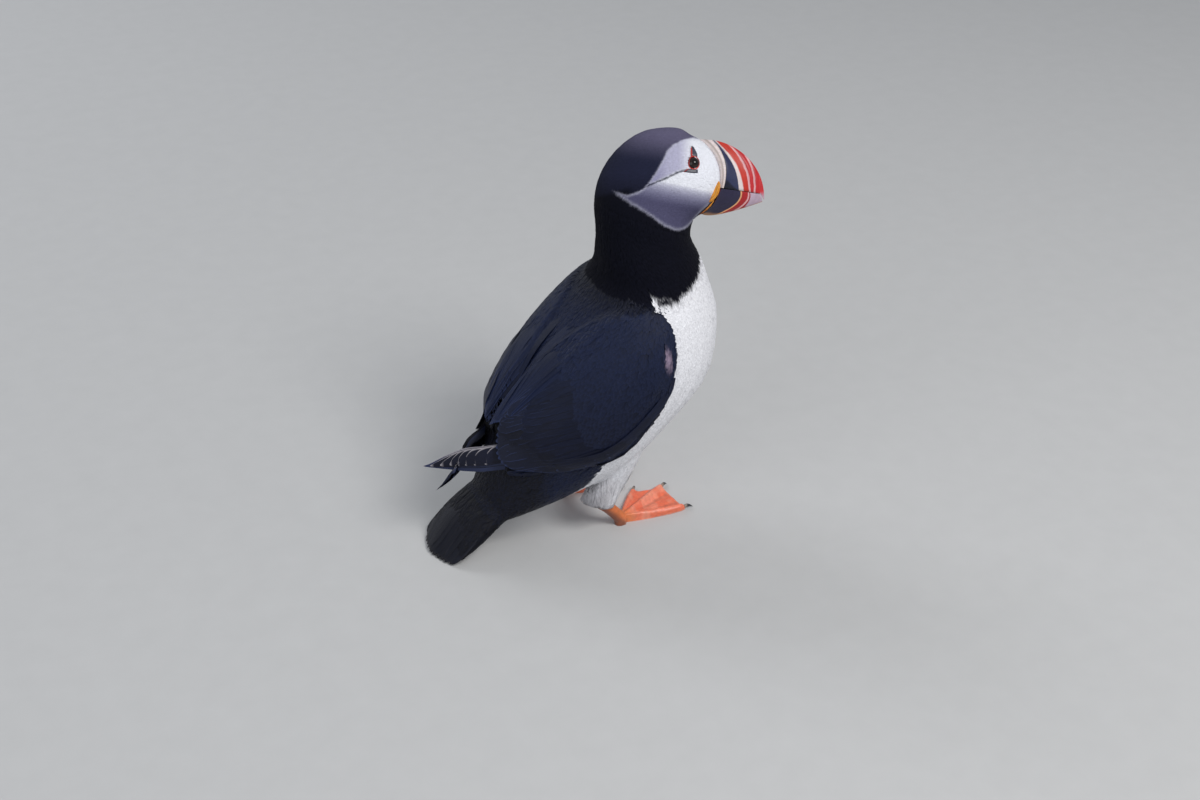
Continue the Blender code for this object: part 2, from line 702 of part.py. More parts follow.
def make_foot(side):
    place, turn = toe_frame(side)
    steps = (0.08, 0.2, 0.36, 0.55, 0.75, 0.9, 1.0)
    angles = foot_angles()
    rings = []
    for step in steps:
        ring = []
        for degrees in angles:
            folded = (degrees + 180.0) % 360.0 - 180.0
            reach = foot_reach(folded) * step
            heading = turn + lateral(side) * math.radians(degrees)
            low_edge = 0.45 if step == 1.0 else 1.0
            ring.append(place + (reach * math.cos(heading), reach * math.sin(heading),
                                 foot_height(folded, reach) * low_edge))
        rings.append(np.array(ring))
    sole = rings[-1] * (1.0, 1.0, 0.0)
    points, faces = loft(rings + [sole])
    foot = add_part("foot_" + side, points, faces, ORANGE, 0.5)
    return foot


def make_claws(side):
    place, turn = toe_frame(side)
    for name, (angle, length, radius) in zip(("inner", "middle", "outer"), TOES):
        heading = turn + lateral(side) * math.radians(angle)
        ahead = np.array([math.cos(heading), math.sin(heading), 0.0])
        across = np.array([-math.sin(heading), math.cos(heading), 0.0])
        turns = np.linspace(0, 2 * math.pi, 8, endpoint=False)
        rings = []
        for share in (0.0, 0.3, 0.6, 0.85, 1.0):
            size = CLAW_RADIUS * (1 - 0.82 * share ** 1.3)
            centre = place + ahead * (length + GAP + CLAW_LENGTH * share)
            centre = centre + np.array((0.0, 0.0, 2.1 + 1.2 * share - 2.9 * share ** 2))
            rings.append(centre + np.outer(size * 0.8 * np.cos(turns), across)
                         + np.outer(size * np.sin(turns), (0.0, 0.0, 1.0)))
        add_part("claw_" + name + "_" + side, *loft(rings), HORN, 0.4)


def make_leg(side, trunk_skin):
    place = toe_frame(side)[0]
    top = mirrored([LEGS[side][0]], side)[0]
    ankle = place + mirrored([ANKLE], side)[0]
    thigh = add_part("thigh_" + side, *loft(limb_rings(top, ankle, THIGH_RADII, 16)), WHITE)
    foot = make_foot(side)
    knuckle = place + (0.0, 0.0, KNUCKLE_HEIGHT / 2)
    inside = ankle + (ankle - knuckle) * TARSUS_SUNK
    tarsus = add_part("tarsus_" + side, *loft(limb_rings(inside, knuckle, TARSUS_RADII, 12)),
                      ORANGE, 0.5)
    cut(tarsus, grown_cutter("thigh skin " + side, thigh, GAP))
    cut(tarsus, grown_cutter("foot skin " + side, foot, GAP))
    cut(thigh, trunk_skin)
    make_claws(side)


def main():
    trunk, head = make_body()
    trunk_skin = grown_cutter("trunk skin", trunk, GAP)
    head_skin = grown_cutter("head skin", head, GAP)
    make_bill()
    make_tail()
    for side in ("right", "left"):
        make_eye(side, head, head_skin)
        make_rosette(side, head_skin)
        make_wing(side, trunk_skin)
        make_leg(side, trunk_skin)
    stand_on_origin()


def stand_on_origin():
    """Moves the bird so that the middle of its box, at the floor, is the origin."""
    bpy.context.view_layer.update()
    depsgraph = bpy.context.evaluated_depsgraph_get()
    corners = []
    for part in parts.objects:
        if part.type == "MESH":
            shape = part.evaluated_get(depsgraph).data
            corners += [tuple(vertex.co) for vertex in shape.vertices]
    low, high = np.min(corners, axis=0), np.max(corners, axis=0)
    origin.location = (-(low[0] + high[0]) / 2, -(low[1] + high[1]) / 2, -low[2])


for old in list(bpy.data.objects):
    bpy.data.objects.remove(old)
parts = bpy.data.collections.new(COLLECTION)
cutters = bpy.data.collections.new("Cutters")
for made_collection in (parts, cutters):
    bpy.context.scene.collection.children.link(made_collection)
origin = bpy.data.objects.new("puffin origin", None)
parts.objects.link(origin)
main()
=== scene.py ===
"""Looks of the Atlantic puffin: skin, feathers, bill, eyes and feet, in a plain studio.

The body faces +X with its left side at +Y. Sizes are millimetres unless a name says
otherwise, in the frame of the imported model, and become metres where a mesh is made.
"""
import math

import bmesh
import bpy
import numpy as np
from mathutils import Matrix, Vector
from mathutils.bvhtree import BVHTree


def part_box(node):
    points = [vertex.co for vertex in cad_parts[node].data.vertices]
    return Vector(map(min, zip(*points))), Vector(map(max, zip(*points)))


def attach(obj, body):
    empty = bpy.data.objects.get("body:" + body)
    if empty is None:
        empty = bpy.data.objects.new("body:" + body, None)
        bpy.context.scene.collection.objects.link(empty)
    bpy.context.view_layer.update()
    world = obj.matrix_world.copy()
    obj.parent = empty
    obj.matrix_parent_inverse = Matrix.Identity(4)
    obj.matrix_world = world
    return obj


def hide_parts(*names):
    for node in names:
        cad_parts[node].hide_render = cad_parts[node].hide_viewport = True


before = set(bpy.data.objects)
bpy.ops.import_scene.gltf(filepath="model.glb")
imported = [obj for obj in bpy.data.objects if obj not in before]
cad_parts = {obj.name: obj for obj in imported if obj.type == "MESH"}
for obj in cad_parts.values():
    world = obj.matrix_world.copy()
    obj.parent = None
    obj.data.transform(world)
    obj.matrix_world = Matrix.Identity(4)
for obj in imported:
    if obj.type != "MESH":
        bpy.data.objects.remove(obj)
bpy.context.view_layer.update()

MM = 0.001
SIDES = {"right": -1.0, "left": 1.0}
rng = np.random.default_rng(7)


# --- the head's own frame: forward u, left w, up v ---
HEAD_AT = (49.8, 6.0, 200.1)
HEAD_MATRIX = np.array(Matrix.Rotation(math.radians(-28.0), 3, "Z")
                       @ Matrix.Rotation(math.radians(-20.0), 3, "X")
                       @ Matrix.Rotation(math.radians(-1.3), 3, "Y"))


def from_head(points):
    """Points (forward, left, up) of the head to the model's frame."""
    return np.asarray(points, float) @ HEAD_MATRIX.T + HEAD_AT


def to_head(points):
    return (np.asarray(points, float) - HEAD_AT) @ HEAD_MATRIX


# --- small tools ---
def mix(a, b, t):
    return a + (b - a) * t


def smoothstep(low, high, value):
    t = np.clip((np.asarray(value, float) - low) / (high - low), 0, 1)
    return t * t * (3 - 2 * t)


def tinted(colours, other, share):
    """Colours moved toward another colour by a share for each point."""
    return mix(colours, other, np.asarray(share)[:, None])


def unit(vectors):
    vectors = np.asarray(vectors, float)
    return vectors / np.maximum(np.linalg.norm(vectors, axis=-1, keepdims=True), 1e-9)


def smooth_row(rows, at):
    """Catmull-Rom value of a table at a fractional row number."""
    rows = np.asarray(rows, float)
    last = len(rows) - 1
    first = min(int(at), last - 1)
    part = at - first
    a, b, c, d = (rows[min(max(first + k, 0), last)] for k in (-1, 0, 1, 2))
    cubic = 3 * (b - c) + d - a
    return b + 0.5 * part * (c - a + part * (2 * a - 5 * b + 4 * c - d + part * cubic))


def smooth_curve(rows, count):
    return np.array([smooth_row(rows, at) for at in np.linspace(0, len(rows) - 1, count)])


def bezier(start, middle, end, t):
    start, middle, end = (np.asarray(p, float) for p in (start, middle, end))
    return (1 - t) ** 2 * start + 2 * t * (1 - t) * middle + t ** 2 * end


def full_turn(count):
    return np.linspace(0, 2 * math.pi, count, endpoint=False)


def crosses(corners):
    """Cross product of two sides of each triangle: along its normal, twice its area long."""
    return np.cross(corners[:, 1] - corners[:, 0], corners[:, 2] - corners[:, 0])


def mirrored(points, side):
    return np.asarray(points, float) * (1.0, SIDES[side], 1.0)


def noise_at(points, scale, seed=0):
    """Smooth value noise from -1 to 1 at points, cells of the given size."""
    grid = np.asarray(points, float) / scale + 17.3 * seed + 1000.0
    base = np.floor(grid).astype(np.int64)
    part = grid - base
    part = part * part * (3 - 2 * part)
    total = np.zeros(len(grid))
    for corner in range(8):
        step = np.array([(corner >> k) & 1 for k in range(3)])
        cell = base + step
        mixed = (cell[:, 0] * 73856093) ^ (cell[:, 1] * 19349663) ^ (cell[:, 2] * 83492791)
        value = ((mixed * 2654435761) % 4294967296) / 2147483648.0 - 1.0
        weight = np.prod(np.where(step, part, 1 - part), axis=1)
        total += weight * value
    return total


# --- meshes ---
def make_piece(name, points, faces, material, colours, maps=None):
    """An object from points in millimetres, with colours and maps given at its points."""
    mesh = bpy.data.meshes.new(name)
    points = np.asarray(points, float) * MM
    if isinstance(faces, np.ndarray):
        mesh.vertices.add(len(points))
        mesh.vertices.foreach_set("co", points.ravel())
        corners = faces.shape[1]
        mesh.loops.add(faces.size)
        mesh.loops.foreach_set("vertex_index", faces.ravel().astype(np.int32))
        mesh.polygons.add(len(faces))
        starts = np.arange(0, faces.size, corners, dtype=np.int32)
        mesh.polygons.foreach_set("loop_start", starts)
        mesh.update(calc_edges=True)
    else:
        mesh.from_pydata([tuple(p) for p in points], [], faces)
    finish_mesh(mesh, colours, maps or {})
    mesh.materials.append(material)
    piece = bpy.data.objects.new(name, mesh)
    bpy.context.scene.collection.objects.link(piece)
    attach(piece, "root")
    return piece


def finish_mesh(mesh, colours, maps):
    """Smooth shading, point colours, and UV maps with one place for each point."""
    mesh.validate()
    vertex_of = np.empty(len(mesh.loops), np.int32)
    mesh.loops.foreach_get("vertex_index", vertex_of)
    layer = mesh.color_attributes.new("plumage", "FLOAT_COLOR", "POINT")
    rgba = np.concatenate([colours, np.ones((len(colours), 1))], axis=1)
    layer.data.foreach_set("color", rgba.astype(np.float32).ravel())
    for name, values in maps.items():
        layer = mesh.uv_layers.new(name=name)
        layer.data.foreach_set("uv", np.asarray(values)[vertex_of].astype(np.float32).ravel())
    mesh.polygons.foreach_set("use_smooth", np.ones(len(mesh.polygons), bool))


def grid_faces(rows, columns, closed=False):
    """Quads of a grid of points, row by row, closed round the columns if asked."""
    r, c = np.meshgrid(np.arange(rows - 1), np.arange(columns if closed else columns - 1),
                       indexing="ij")
    a = (r * columns + c).ravel()
    b = (r * columns + (c + 1) % columns).ravel()
    return np.stack([a, b, b + columns, a + columns], axis=1)


def capped_tube(rows, around):
    """Faces of a tube of rings, with a face over each end."""
    faces = [tuple(quad) for quad in grid_faces(rows, around, closed=True)]
    last = (rows - 1) * around
    return faces + [tuple(range(around))[::-1], tuple(last + k for k in range(around))]


def outward(mesh):
    made = bmesh.new()
    made.from_mesh(mesh)
    bmesh.ops.recalc_face_normals(made, faces=made.faces)
    made.to_mesh(mesh)
    made.free()


class Surface:
    """A mesh in millimetres with quick nearest points and smooth normals."""

    def __init__(self, points, triangles):
        self.points = np.asarray(points, float)
        self.triangles = np.asarray(triangles, int)
        cross = crosses(self.points[self.triangles])
        normals = np.zeros_like(self.points)
        for k in range(3):
            np.add.at(normals, self.triangles[:, k], cross)
        self.normals = unit(normals)
        self.tree = BVHTree.FromPolygons(self.points.tolist(), self.triangles.tolist())

    def nearest(self, points):
        """Nearest places, smooth normals there, their triangles and weights of its corners."""
        find = self.tree.find_nearest
        found = [find(point) for point in np.asarray(points, float).tolist()]
        places = np.array([tuple(f[0]) for f in found])
        faces = np.array([f[2] for f in found])
        a, b, c = (self.points[self.triangles[faces, k]] for k in range(3))
        whole = np.cross(b - a, c - a)
        size = np.maximum((whole ** 2).sum(axis=1), 1e-12)
        second = (np.cross(places - a, c - a) * whole).sum(axis=1) / size
        third = (np.cross(b - a, places - a) * whole).sum(axis=1) / size
        weights = np.clip(np.stack([1 - second - third, second, third], axis=1), 0, 1)
        corners = self.normals[self.triangles[faces]]
        return places, unit((corners * weights[..., None]).sum(axis=1)), faces, weights

    def distance(self, points):
        find = self.tree.find_nearest
        return np.array([find(point)[3] for point in np.asarray(points, float).tolist()])

    def map_from(self, mesh):
        """Takes the unwrap of a mesh whose triangles are this surface's."""
        mesh.calc_loop_triangles()
        loops = np.empty(len(mesh.loop_triangles) * 3, np.int32)
        mesh.loop_triangles.foreach_get("loops", loops)
        uvs = np.empty(len(mesh.loops) * 2)
        mesh.uv_layers["OFBake"].data.foreach_get("uv", uvs)
        self.map = uvs.reshape(-1, 2)[loops].reshape(-1, 3, 2)

    def place_on_unwrap(self, points):
        _, _, faces, weights = self.nearest(points)
        weights = weights / weights.sum(axis=1, keepdims=True)
        return (self.map[faces] * weights[..., None]).sum(axis=1)


def mesh_arrays(mesh):
    mesh.calc_loop_triangles()
    points = np.empty(len(mesh.vertices) * 3)
    mesh.vertices.foreach_get("co", points)
    triangles = np.empty(len(mesh.loop_triangles) * 3, np.int32)
    mesh.loop_triangles.foreach_get("vertices", triangles)
    return points.reshape(-1, 3) / MM, triangles.reshape(-1, 3)


def node_surface(name):
    return Surface(*mesh_arrays(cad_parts[name].data))


def clipped_mesh(name):
    """A copy of a CAD node's mesh, closed off short of its thin end."""
    made = bmesh.new()
    made.from_mesh(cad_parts[name].data)
    bmesh.ops.remove_doubles(made, verts=made.verts, dist=1e-6)
    if name in CLIPPED:
        geometry = list(made.verts) + list(made.edges) + list(made.faces)
        cut = bmesh.ops.bisect_plane(made, geom=geometry, plane_co=(CLIPPED[name] * MM, 0, 0),
                                     plane_no=(1, 0, 0), clear_inner=True)
        edges = [e for e in cut["geom_cut"] if isinstance(e, bmesh.types.BMEdge)]
        bmesh.ops.holes_fill(made, edges=edges)
    mesh = bpy.data.meshes.new(name)
    made.to_mesh(mesh)
    made.free()
    return mesh


def voxel_join(meshes, voxel, smoothing, grow):
    """Grows closed meshes a little and melts them into one."""
    joined = bmesh.new()
    for mesh in meshes:
        part = bmesh.new()
        part.from_mesh(mesh)
        bmesh.ops.remove_doubles(part, verts=part.verts, dist=1e-6)
        part.normal_update()
        for vertex in part.verts:
            vertex.co += vertex.normal * grow * MM
        copy = bpy.data.meshes.new("part")
        part.to_mesh(copy)
        part.free()
        joined.from_mesh(copy)
        bpy.data.meshes.remove(copy)
    mesh = bpy.data.meshes.new("joined")
    joined.to_mesh(mesh)
    joined.free()
    holder = bpy.data.objects.new("joined", mesh)
    bpy.context.scene.collection.objects.link(holder)
    remesh = holder.modifiers.new("melt", "REMESH")
    remesh.mode = "VOXEL"
    remesh.voxel_size = voxel * MM
    relax = holder.modifiers.new("relax", "SMOOTH")
    relax.iterations = smoothing
    depsgraph = bpy.context.evaluated_depsgraph_get()
    melted_mesh = bpy.data.meshes.new_from_object(holder.evaluated_get(depsgraph))
    bpy.data.objects.remove(holder)
    return largest_shell(melted_mesh)


def largest_shell(mesh):
    """Drops inner shells that the melting leaves where pieces lie against each other."""
    made = bmesh.new()
    made.from_mesh(mesh)
    made.verts.ensure_lookup_table()
    seen = set()
    best = set()
    for start in made.verts:
        if start.index in seen:
            continue
        shell, queue = {start.index}, [start]
        while queue:
            vertex = queue.pop()
            for edge in vertex.link_edges:
                other = edge.other_vert(vertex)
                if other.index not in shell:
                    shell.add(other.index)
                    queue.append(other)
        seen |= shell
        if len(shell) > len(best):
            best = shell
    bmesh.ops.delete(made, geom=[v for v in made.verts if v.index not in best], context="VERTS")
    made.to_mesh(mesh)
    made.free()
    return mesh


def vertex_normals(mesh):
    normals = np.empty(len(mesh.vertices) * 3)
    mesh.vertices.foreach_get("normal", normals)
    return normals.reshape(-1, 3)


# --- body lines ---
# The lie of the feathers: along the back, down the front, and down each side.
BACK_LINE = np.concatenate([from_head([(24, 0, 24), (3, 0, 28), (-22, 0, 18), (-35, 0, 0)]),
                            [(11, 0, 178), (8, 0, 163), (5.7, 0, 148), (-7, 0, 134.7),
                             (-25.7, 0, 116), (-43.5, 0, 93.5), (-55.3, 0, 73),
                             (-62, 0, 50.6), (-76, 0, 30), (-100, 0, 4)]])
FRONT_LINE = np.concatenate([from_head([(21, 0, -19), (17, 0, -26)]),
                             [(69, 0, 157), (73.4, 0, 145.5), (79, 0, 121.5), (71, 0, 87.5),
                              (44, 0, 63), (18, 0, 40), (-12, 0, 26.4), (-37, 0, 19.5),
                              (-53, 0, 16), (-96, 0, 1)]])


def side_line(side):
    head = from_head(mirrored([(30, 13, -4), (10, 19, -5), (-10, 22, -11), (-24, 22, -19)], side))
    body = mirrored([(39, 29, 163), (39.6, 33, 151), (39, 41.5, 136), (30.6, 50, 112),
                     (12.6, 52, 87), (-8.4, 46, 63), (-29, 35, 45), (-46, 26, 32),
                     (-58, 20, 24), (-96, 21, 4)], side)
    return np.concatenate([head, body])


def brow_line(side):
    head = from_head(mirrored([(28, 8, 15), (18, 15, 15), (2, 18, 14), (-18, 20, 6)], side))
    return np.concatenate([head, mirrored([(14, 24, 178), (16, 27, 163)], side)])


def thigh_line(side):
    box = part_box("thigh_" + side)
    middle = [(box[0][k] + box[1][k]) / 2 / MM for k in (0, 1)]
    return np.array([(middle[0] + 5, middle[1], 56), (middle[0] - 1, middle[1], 34),
                     (middle[0] - 6, middle[1], 12)])


# The lie over a folded wing, shoulder to tip: two lines over the wing and one on its edge.
WING_LINES = (
    [(24, 34, 148), (4, 36, 128), (-22, 34, 103), (-48, 24, 80), (-66, 8, 66), (-96, -9, 53)],
    [(33, 42, 137), (24, 52, 112), (2, 54, 86), (-22, 48, 70), (-50, 31, 62), (-96, -7, 52)],
    [(34, 44, 134), (31, 50, 112), (20, 53, 88), (2, 52, 72), (-20, 44, 64), (-60, 20, 56)],
)


def densified(line, step=3.0):
    """Points along a line, with its direction at each."""
    line = np.asarray(line, float)
    smooth = smooth_curve(line, 12 * len(line))
    lengths = np.concatenate([[0], np.cumsum(np.linalg.norm(np.diff(smooth, axis=0), axis=1))])
    at = np.linspace(0, lengths[-1], max(3, int(lengths[-1] / step)))
    points = np.stack([np.interp(at, lengths, smooth[:, k]) for k in range(3)], axis=1)
    return points, unit(np.gradient(points, axis=0))


class Lie:
    """The direction in which feathers lie, blended from lines by nearness."""

    def __init__(self, lines, reach):
        pairs = [densified(line) for line in lines]
        self.points = np.concatenate([points for points, headings in pairs])
        self.headings = np.concatenate([headings for points, headings in pairs])
        self.reach = reach

    def at(self, points, normals):
        result = np.empty((len(points), 3))
        for start in range(0, len(points), 4000):
            block = points[start:start + 4000]
            gap = ((block[:, None] - self.points[None]) ** 2).sum(axis=2)
            weight = np.exp(-(gap - gap.min(axis=1, keepdims=True)) / self.reach ** 2)
            result[start:start + 4000] = weight @ self.headings
        result -= normals * (result * normals).sum(axis=1, keepdims=True)
        return unit(result)


BODY_LIE = Lie([BACK_LINE, FRONT_LINE] + [line(side) for side in SIDES
               for line in (side_line, brow_line, thigh_line)], 13.0)
WING_LIE = Lie([mirrored(line, side) for side in SIDES for line in WING_LINES], 12.0)


# --- colours ---
BREAST_WHITE = np.array((0.80, 0.80, 0.84))
FACE_PALE = np.array((0.76, 0.77, 0.83))
FACE_GREY = np.array((0.40, 0.39, 0.53))
FACE_SHADE = np.array((0.20, 0.19, 0.34))
CHEEK_SHADE = np.array((0.075, 0.072, 0.135))
FACE_RIM = np.array((0.44, 0.44, 0.54))
CROWN = np.array((0.014, 0.016, 0.038))
# Painted light: the top of the crown, lit from the sky above
CROWN_PAINTED_LIGHT = np.array((0.115, 0.105, 0.175))
COLLAR = np.array((0.0022, 0.0025, 0.007))
MANTLE = np.array((0.0045, 0.0085, 0.030))
# Painted sheen: blue of the sky reflected on the edges of feathers of the back, wings and tail
MANTLE_SHEEN = np.array((0.022, 0.034, 0.095))
WING_BLACK = np.array((0.0028, 0.0045, 0.016))
FLIGHT = np.array((0.0035, 0.0045, 0.014))
# Painted highlight: the pale lines along the edges and tips of flight and tail feathers
EDGE_HIGHLIGHT = np.array((0.46, 0.43, 0.46))
EDGE_BLUE = np.array((0.022, 0.030, 0.075))
BEND_PINK = np.array((0.33, 0.25, 0.34))
RUMP = np.array((0.0020, 0.0020, 0.0045))
PLUME_SHADE = np.array((0.34, 0.31, 0.33))

# Outlines on the side of the head (forward, up): the lower edge of the dark crown from the
# bill back to its lobe, and the upper edge of the black collar from there to the throat.
CROWN_EDGE = ((33, 20), (26, 21.5), (20.3, 22.4), (17.6, 22.9), (14.1, 22.4), (10, 20.9),
              (5.4, 18.2), (1.5, 11.6), (-1.6, 6.3), (-4.3, 2.3), (-9.0, -3.0),
              (-15.9, -5.8), (-20.9, -5.7), (-25.4, -4.2))
COLLAR_EDGE = ((-25.4, -4.2), (-16.2, -10.3), (-11.6, -13), (-5.5, -17), (-0.2, -21.1),
               (3.8, -23.6), (8.6, -25.7), (12.7, -25.5), (16.6, -23), (21.6, -17.2), (26, -13))
CREASE = ((14.2, 6.4), (12.6, 6.1), (7.9, 4.6), (3.9, 2.7), (-0.1, 1.1), (-4.1, -0.5),
          (-8.5, -2.4))
# Where the black of the back gives way to the white below, on the body's side: forward, up
BELLY_EDGE = ((-75, 12), (-45, 17), (-28, 26), (-16, 40), (-10, 58), (2, 75), (14, 108),
              (20, 128), (26, 143), (80, 143))
COLLAR_FRONT = 161.5            # height of the collar's edge in the middle of the breast
COLLAR_FALL = 0.012             # how fast it comes down to the sides, with their square
SHOULDER_LEVEL = 136
SHOULDER_FORWARD = 26
HEAD_EDGE = (-30, -27)          # levels between which the head's markings take over


def distance_to_line(points, line):
    """Distance from 2-D points to a polyline, and whether each lies to its left."""
    line = np.asarray(line, float)
    best = np.full(len(points), 1e9)
    left = np.zeros(len(points), bool)
    for start, end in zip(line[:-1], line[1:]):
        step = end - start
        t = np.clip(((points - start) @ step) / (step @ step), 0, 1)
        gap = points - (start + t[:, None] * step)
        far = np.hypot(gap[:, 0], gap[:, 1])
        turn = step[0] * gap[:, 1] - step[1] * gap[:, 0]
        nearer = far < best
        best = np.where(nearer, far, best)
        left = np.where(nearer, turn > 0, left)
    return best, left


CROWN_CURVE = smooth_curve(CROWN_EDGE, 60)
COLLAR_CURVE = smooth_curve(COLLAR_EDGE, 50)
CREASE_CURVE = smooth_curve(CREASE, 24)


def head_colours(local):
    """Colours of the head: crown, face, cheek and collar, from places in its own frame."""
    wander = np.stack([noise_at(local, 1.3, seed) for seed in (1, 2)], axis=1)
    flat = local[:, [0, 2]] + 0.3 * wander
    crown_far, below = distance_to_line(flat, CROWN_CURVE)
    collar_far, above = distance_to_line(flat, COLLAR_CURVE)
    crown_side = np.where(below, crown_far, -crown_far)
    collar_side = np.where(above, collar_far, -collar_far)
    crease_far, _ = distance_to_line(flat, CREASE_CURVE)
    u, w, v = local.T
    face = smoothstep(-0.45, 0.45, crown_side) * smoothstep(-0.6, 0.6, collar_side)
    crease_level = np.interp(u, CREASE_CURVE[::-1, 0], CREASE_CURVE[::-1, 1])
    above = smoothstep(-0.2, 1.6, v - crease_level)
    upper = above * smoothstep(19, 9, u)
    skin = tinted(FACE_PALE, FACE_GREY, 0.95 * upper)
    skin = tinted(skin, FACE_SHADE, 0.75 * above * smoothstep(6, -5, u))
    depth = np.clip(((10 - u) * 0.25 - 1 - v) / 12, 0, 1) ** 0.9 * (1 - above)
    skin = skin ** (1 - depth[:, None]) * CHEEK_SHADE ** depth[:, None]
    rim = np.exp(-(np.minimum(crown_far, collar_far) / 0.9) ** 2) * 0.7
    skin = tinted(skin, FACE_RIM, rim)
    crease = np.exp(-(crease_far / 0.52) ** 2) * smoothstep(-8.5, -6, u)
    skin = tinted(skin, CROWN, 0.95 * crease)
    front = smoothstep(14, 27, u)
    skin = tinted(skin, FACE_PALE * 1.04, 0.5 * front * smoothstep(-6, 2, v))
    # The crown is painted lighter toward its top, as painted light from above.
    top = smoothstep(9, 27, v + 0.15 * u) * 0.95
    dark = tinted(CROWN, CROWN_PAINTED_LIGHT, top)
    dark = mix(dark, CROWN * 0.5, smoothstep(6, -6, v)[:, None] * 0.8)
    collar_line = -5.0 + 0.28 * (u + 25)
    into_collar = np.maximum(smoothstep(1.6, -1.6, v - collar_line) * smoothstep(-12, -20, u),
                             smoothstep(0.3, -0.3, collar_side) * smoothstep(-26, -24, u))
    dark = tinted(dark, COLLAR, into_collar)
    throat = smoothstep(5.5, 3.5, np.abs(w)) * smoothstep(-14, -17, v)
    return tinted(dark, skin, face * (1 - throat))


def body_colours(points):
    """Colours of the trunk and neck: black back and collar over white breast and belly.

    Ahead of the shoulder the edge is the collar's, lower toward the sides and never below
    the shoulder; behind it the edge follows the belly's line.
    """
    x, y, z = points.T
    wobble = 0.9 * noise_at(points, 2.2, 3) + 0.5 * noise_at(points, 0.9, 4)
    edge = np.interp(x, *np.array(BELLY_EDGE).T)
    collar = np.maximum(COLLAR_FRONT - COLLAR_FALL * y ** 2, SHOULDER_LEVEL)
    level = np.where(x > SHOULDER_FORWARD, collar, edge)
    side_dark = smoothstep(-0.8, 0.8, z + wobble - level)
    upper = smoothstep(150, 132, z) * smoothstep(45, 25, x)
    dark = tinted(COLLAR, MANTLE, upper)
    dark = tinted(dark, RUMP, smoothstep(-30, -45, x))
    white = tinted(BREAST_WHITE, PLUME_SHADE, smoothstep(34, 16, z) * 0.7)
    return tinted(white, dark, side_dark)


def dark_plumage(points):
    return np.minimum(plumage(points), MANTLE)


def plumage(points):
    points = np.asarray(points, float)
    local = to_head(points)
    on_head = smoothstep(*HEAD_EDGE, local[:, 2] + 0.12 * (local[:, 0] + 10))
    return tinted(body_colours(points), head_colours(local), on_head)


# --- materials ---
def new_material(name):
    material = bpy.data.materials.new(name)
    material.use_nodes = True
    tree = material.node_tree
    return material, tree, tree.nodes["Principled BSDF"]


def link(tree, start, end):
    tree.links.new(start, end)


def node(tree, kind, **values):
    made = tree.nodes.new(kind)
    for name, value in values.items():
        setattr(made, name, value)
    return made


def value_of(tree, operation, *inputs):
    """Output of a Math node; inputs are numbers or sockets."""
    made = node(tree, "ShaderNodeMath", operation=operation)
    for socket, value in zip(made.inputs, inputs):
        if isinstance(value, (int, float)):
            socket.default_value = value
        else:
            link(tree, value, socket)
    return made.outputs[0]


def set_inputs(made, values):
    for name, value in values.items():
        made.inputs[name].default_value = value


def ranged(tree, value, source=(0.0, 1.0), target=(0.0, 1.0)):
    """Output of a Map Range node that takes one span of values to another."""
    made = node(tree, "ShaderNodeMapRange")
    link(tree, value, made.inputs["Value"])
    set_inputs(made, dict(zip(("From Min", "From Max", "To Min", "To Max"), source + target)))
    return made.outputs[0]


def noise_texture(tree, vector, scale, detail=3.0, roughness=0.55):
    made = node(tree, "ShaderNodeTexNoise")
    set_inputs(made, {"Scale": scale, "Detail": detail, "Roughness": roughness})
    link(tree, vector, made.inputs["Vector"])
    return made.outputs["Fac"]


def painted(tree, low=0.8, high=1.15, factor=None):
    """The point colours, made darker and lighter by a pattern."""
    colour = node(tree, "ShaderNodeVertexColor", layer_name="plumage").outputs["Color"]
    if factor is None:
        return colour
    scaled = node(tree, "ShaderNodeVectorMath", operation="SCALE")
    link(tree, colour, scaled.inputs[0])
    link(tree, ranged(tree, factor, (0.3, 0.7), (low, high)), scaled.inputs["Scale"])
    return scaled.outputs[0]


def bump(tree, shader, height, strength, distance):
    made = node(tree, "ShaderNodeBump")
    set_inputs(made, {"Strength": strength, "Distance": distance * MM})
    link(tree, height, made.inputs["Height"])
    link(tree, made.outputs["Normal"], shader.inputs["Normal"])


def feather_material(name, roughness, sheen, gloss, barb_scale, barb_strength, shaft=0.0):
    """Vanes: point colours broken by fine barbs that slant away from a darker shaft."""
    material, tree, shader = new_material(name)
    across = node(tree, "ShaderNodeUVMap", uv_map="vane")
    split = node(tree, "ShaderNodeSeparateXYZ")
    link(tree, across.outputs[0], split.inputs[0])
    folded = value_of(tree, "ABSOLUTE", value_of(
        tree, "SUBTRACT", value_of(tree, "FRACT", split.outputs[0]), 0.5))
    slant = value_of(tree, "SUBTRACT", split.outputs[1], value_of(tree, "MULTIPLY", folded, 0.75))
    joined = node(tree, "ShaderNodeCombineXYZ")
    link(tree, value_of(tree, "MULTIPLY", slant, barb_scale), joined.inputs[0])
    link(tree, value_of(tree, "MULTIPLY", folded, 3.0), joined.inputs[1])
    link(tree, value_of(tree, "FLOOR", split.outputs[0]), joined.inputs[2])
    barbs = noise_texture(tree, joined.outputs[0], 1.0, 2.0)
    if shaft:
        near = ranged(tree, folded, (0.012, 0.030), (-shaft, 0.0))
        barbs = value_of(tree, "ADD", barbs, near)
    link(tree, painted(tree, 0.66, 1.34, barbs), shader.inputs["Base Color"])
    set_inputs(shader, {"Roughness": roughness, "Sheen Weight": sheen,
                        "Sheen Roughness": 0.45, "Specular IOR Level": gloss})
    bump(tree, shader, barbs, barb_strength, 0.25)
    return material


def skin_material(name):
    """Skin and down under the feathers: point colours with a fine downy break-up."""
    material, tree, shader = new_material(name)
    place = node(tree, "ShaderNodeTexCoord").outputs["Object"]
    down = noise_texture(tree, place, 900.0, 4.0)
    link(tree, painted(tree, 0.7, 1.1, down), shader.inputs["Base Color"])
    set_inputs(shader, {"Roughness": 0.85, "Specular IOR Level": 0.2})
    bump(tree, shader, down, 0.6, 0.3)
    return material


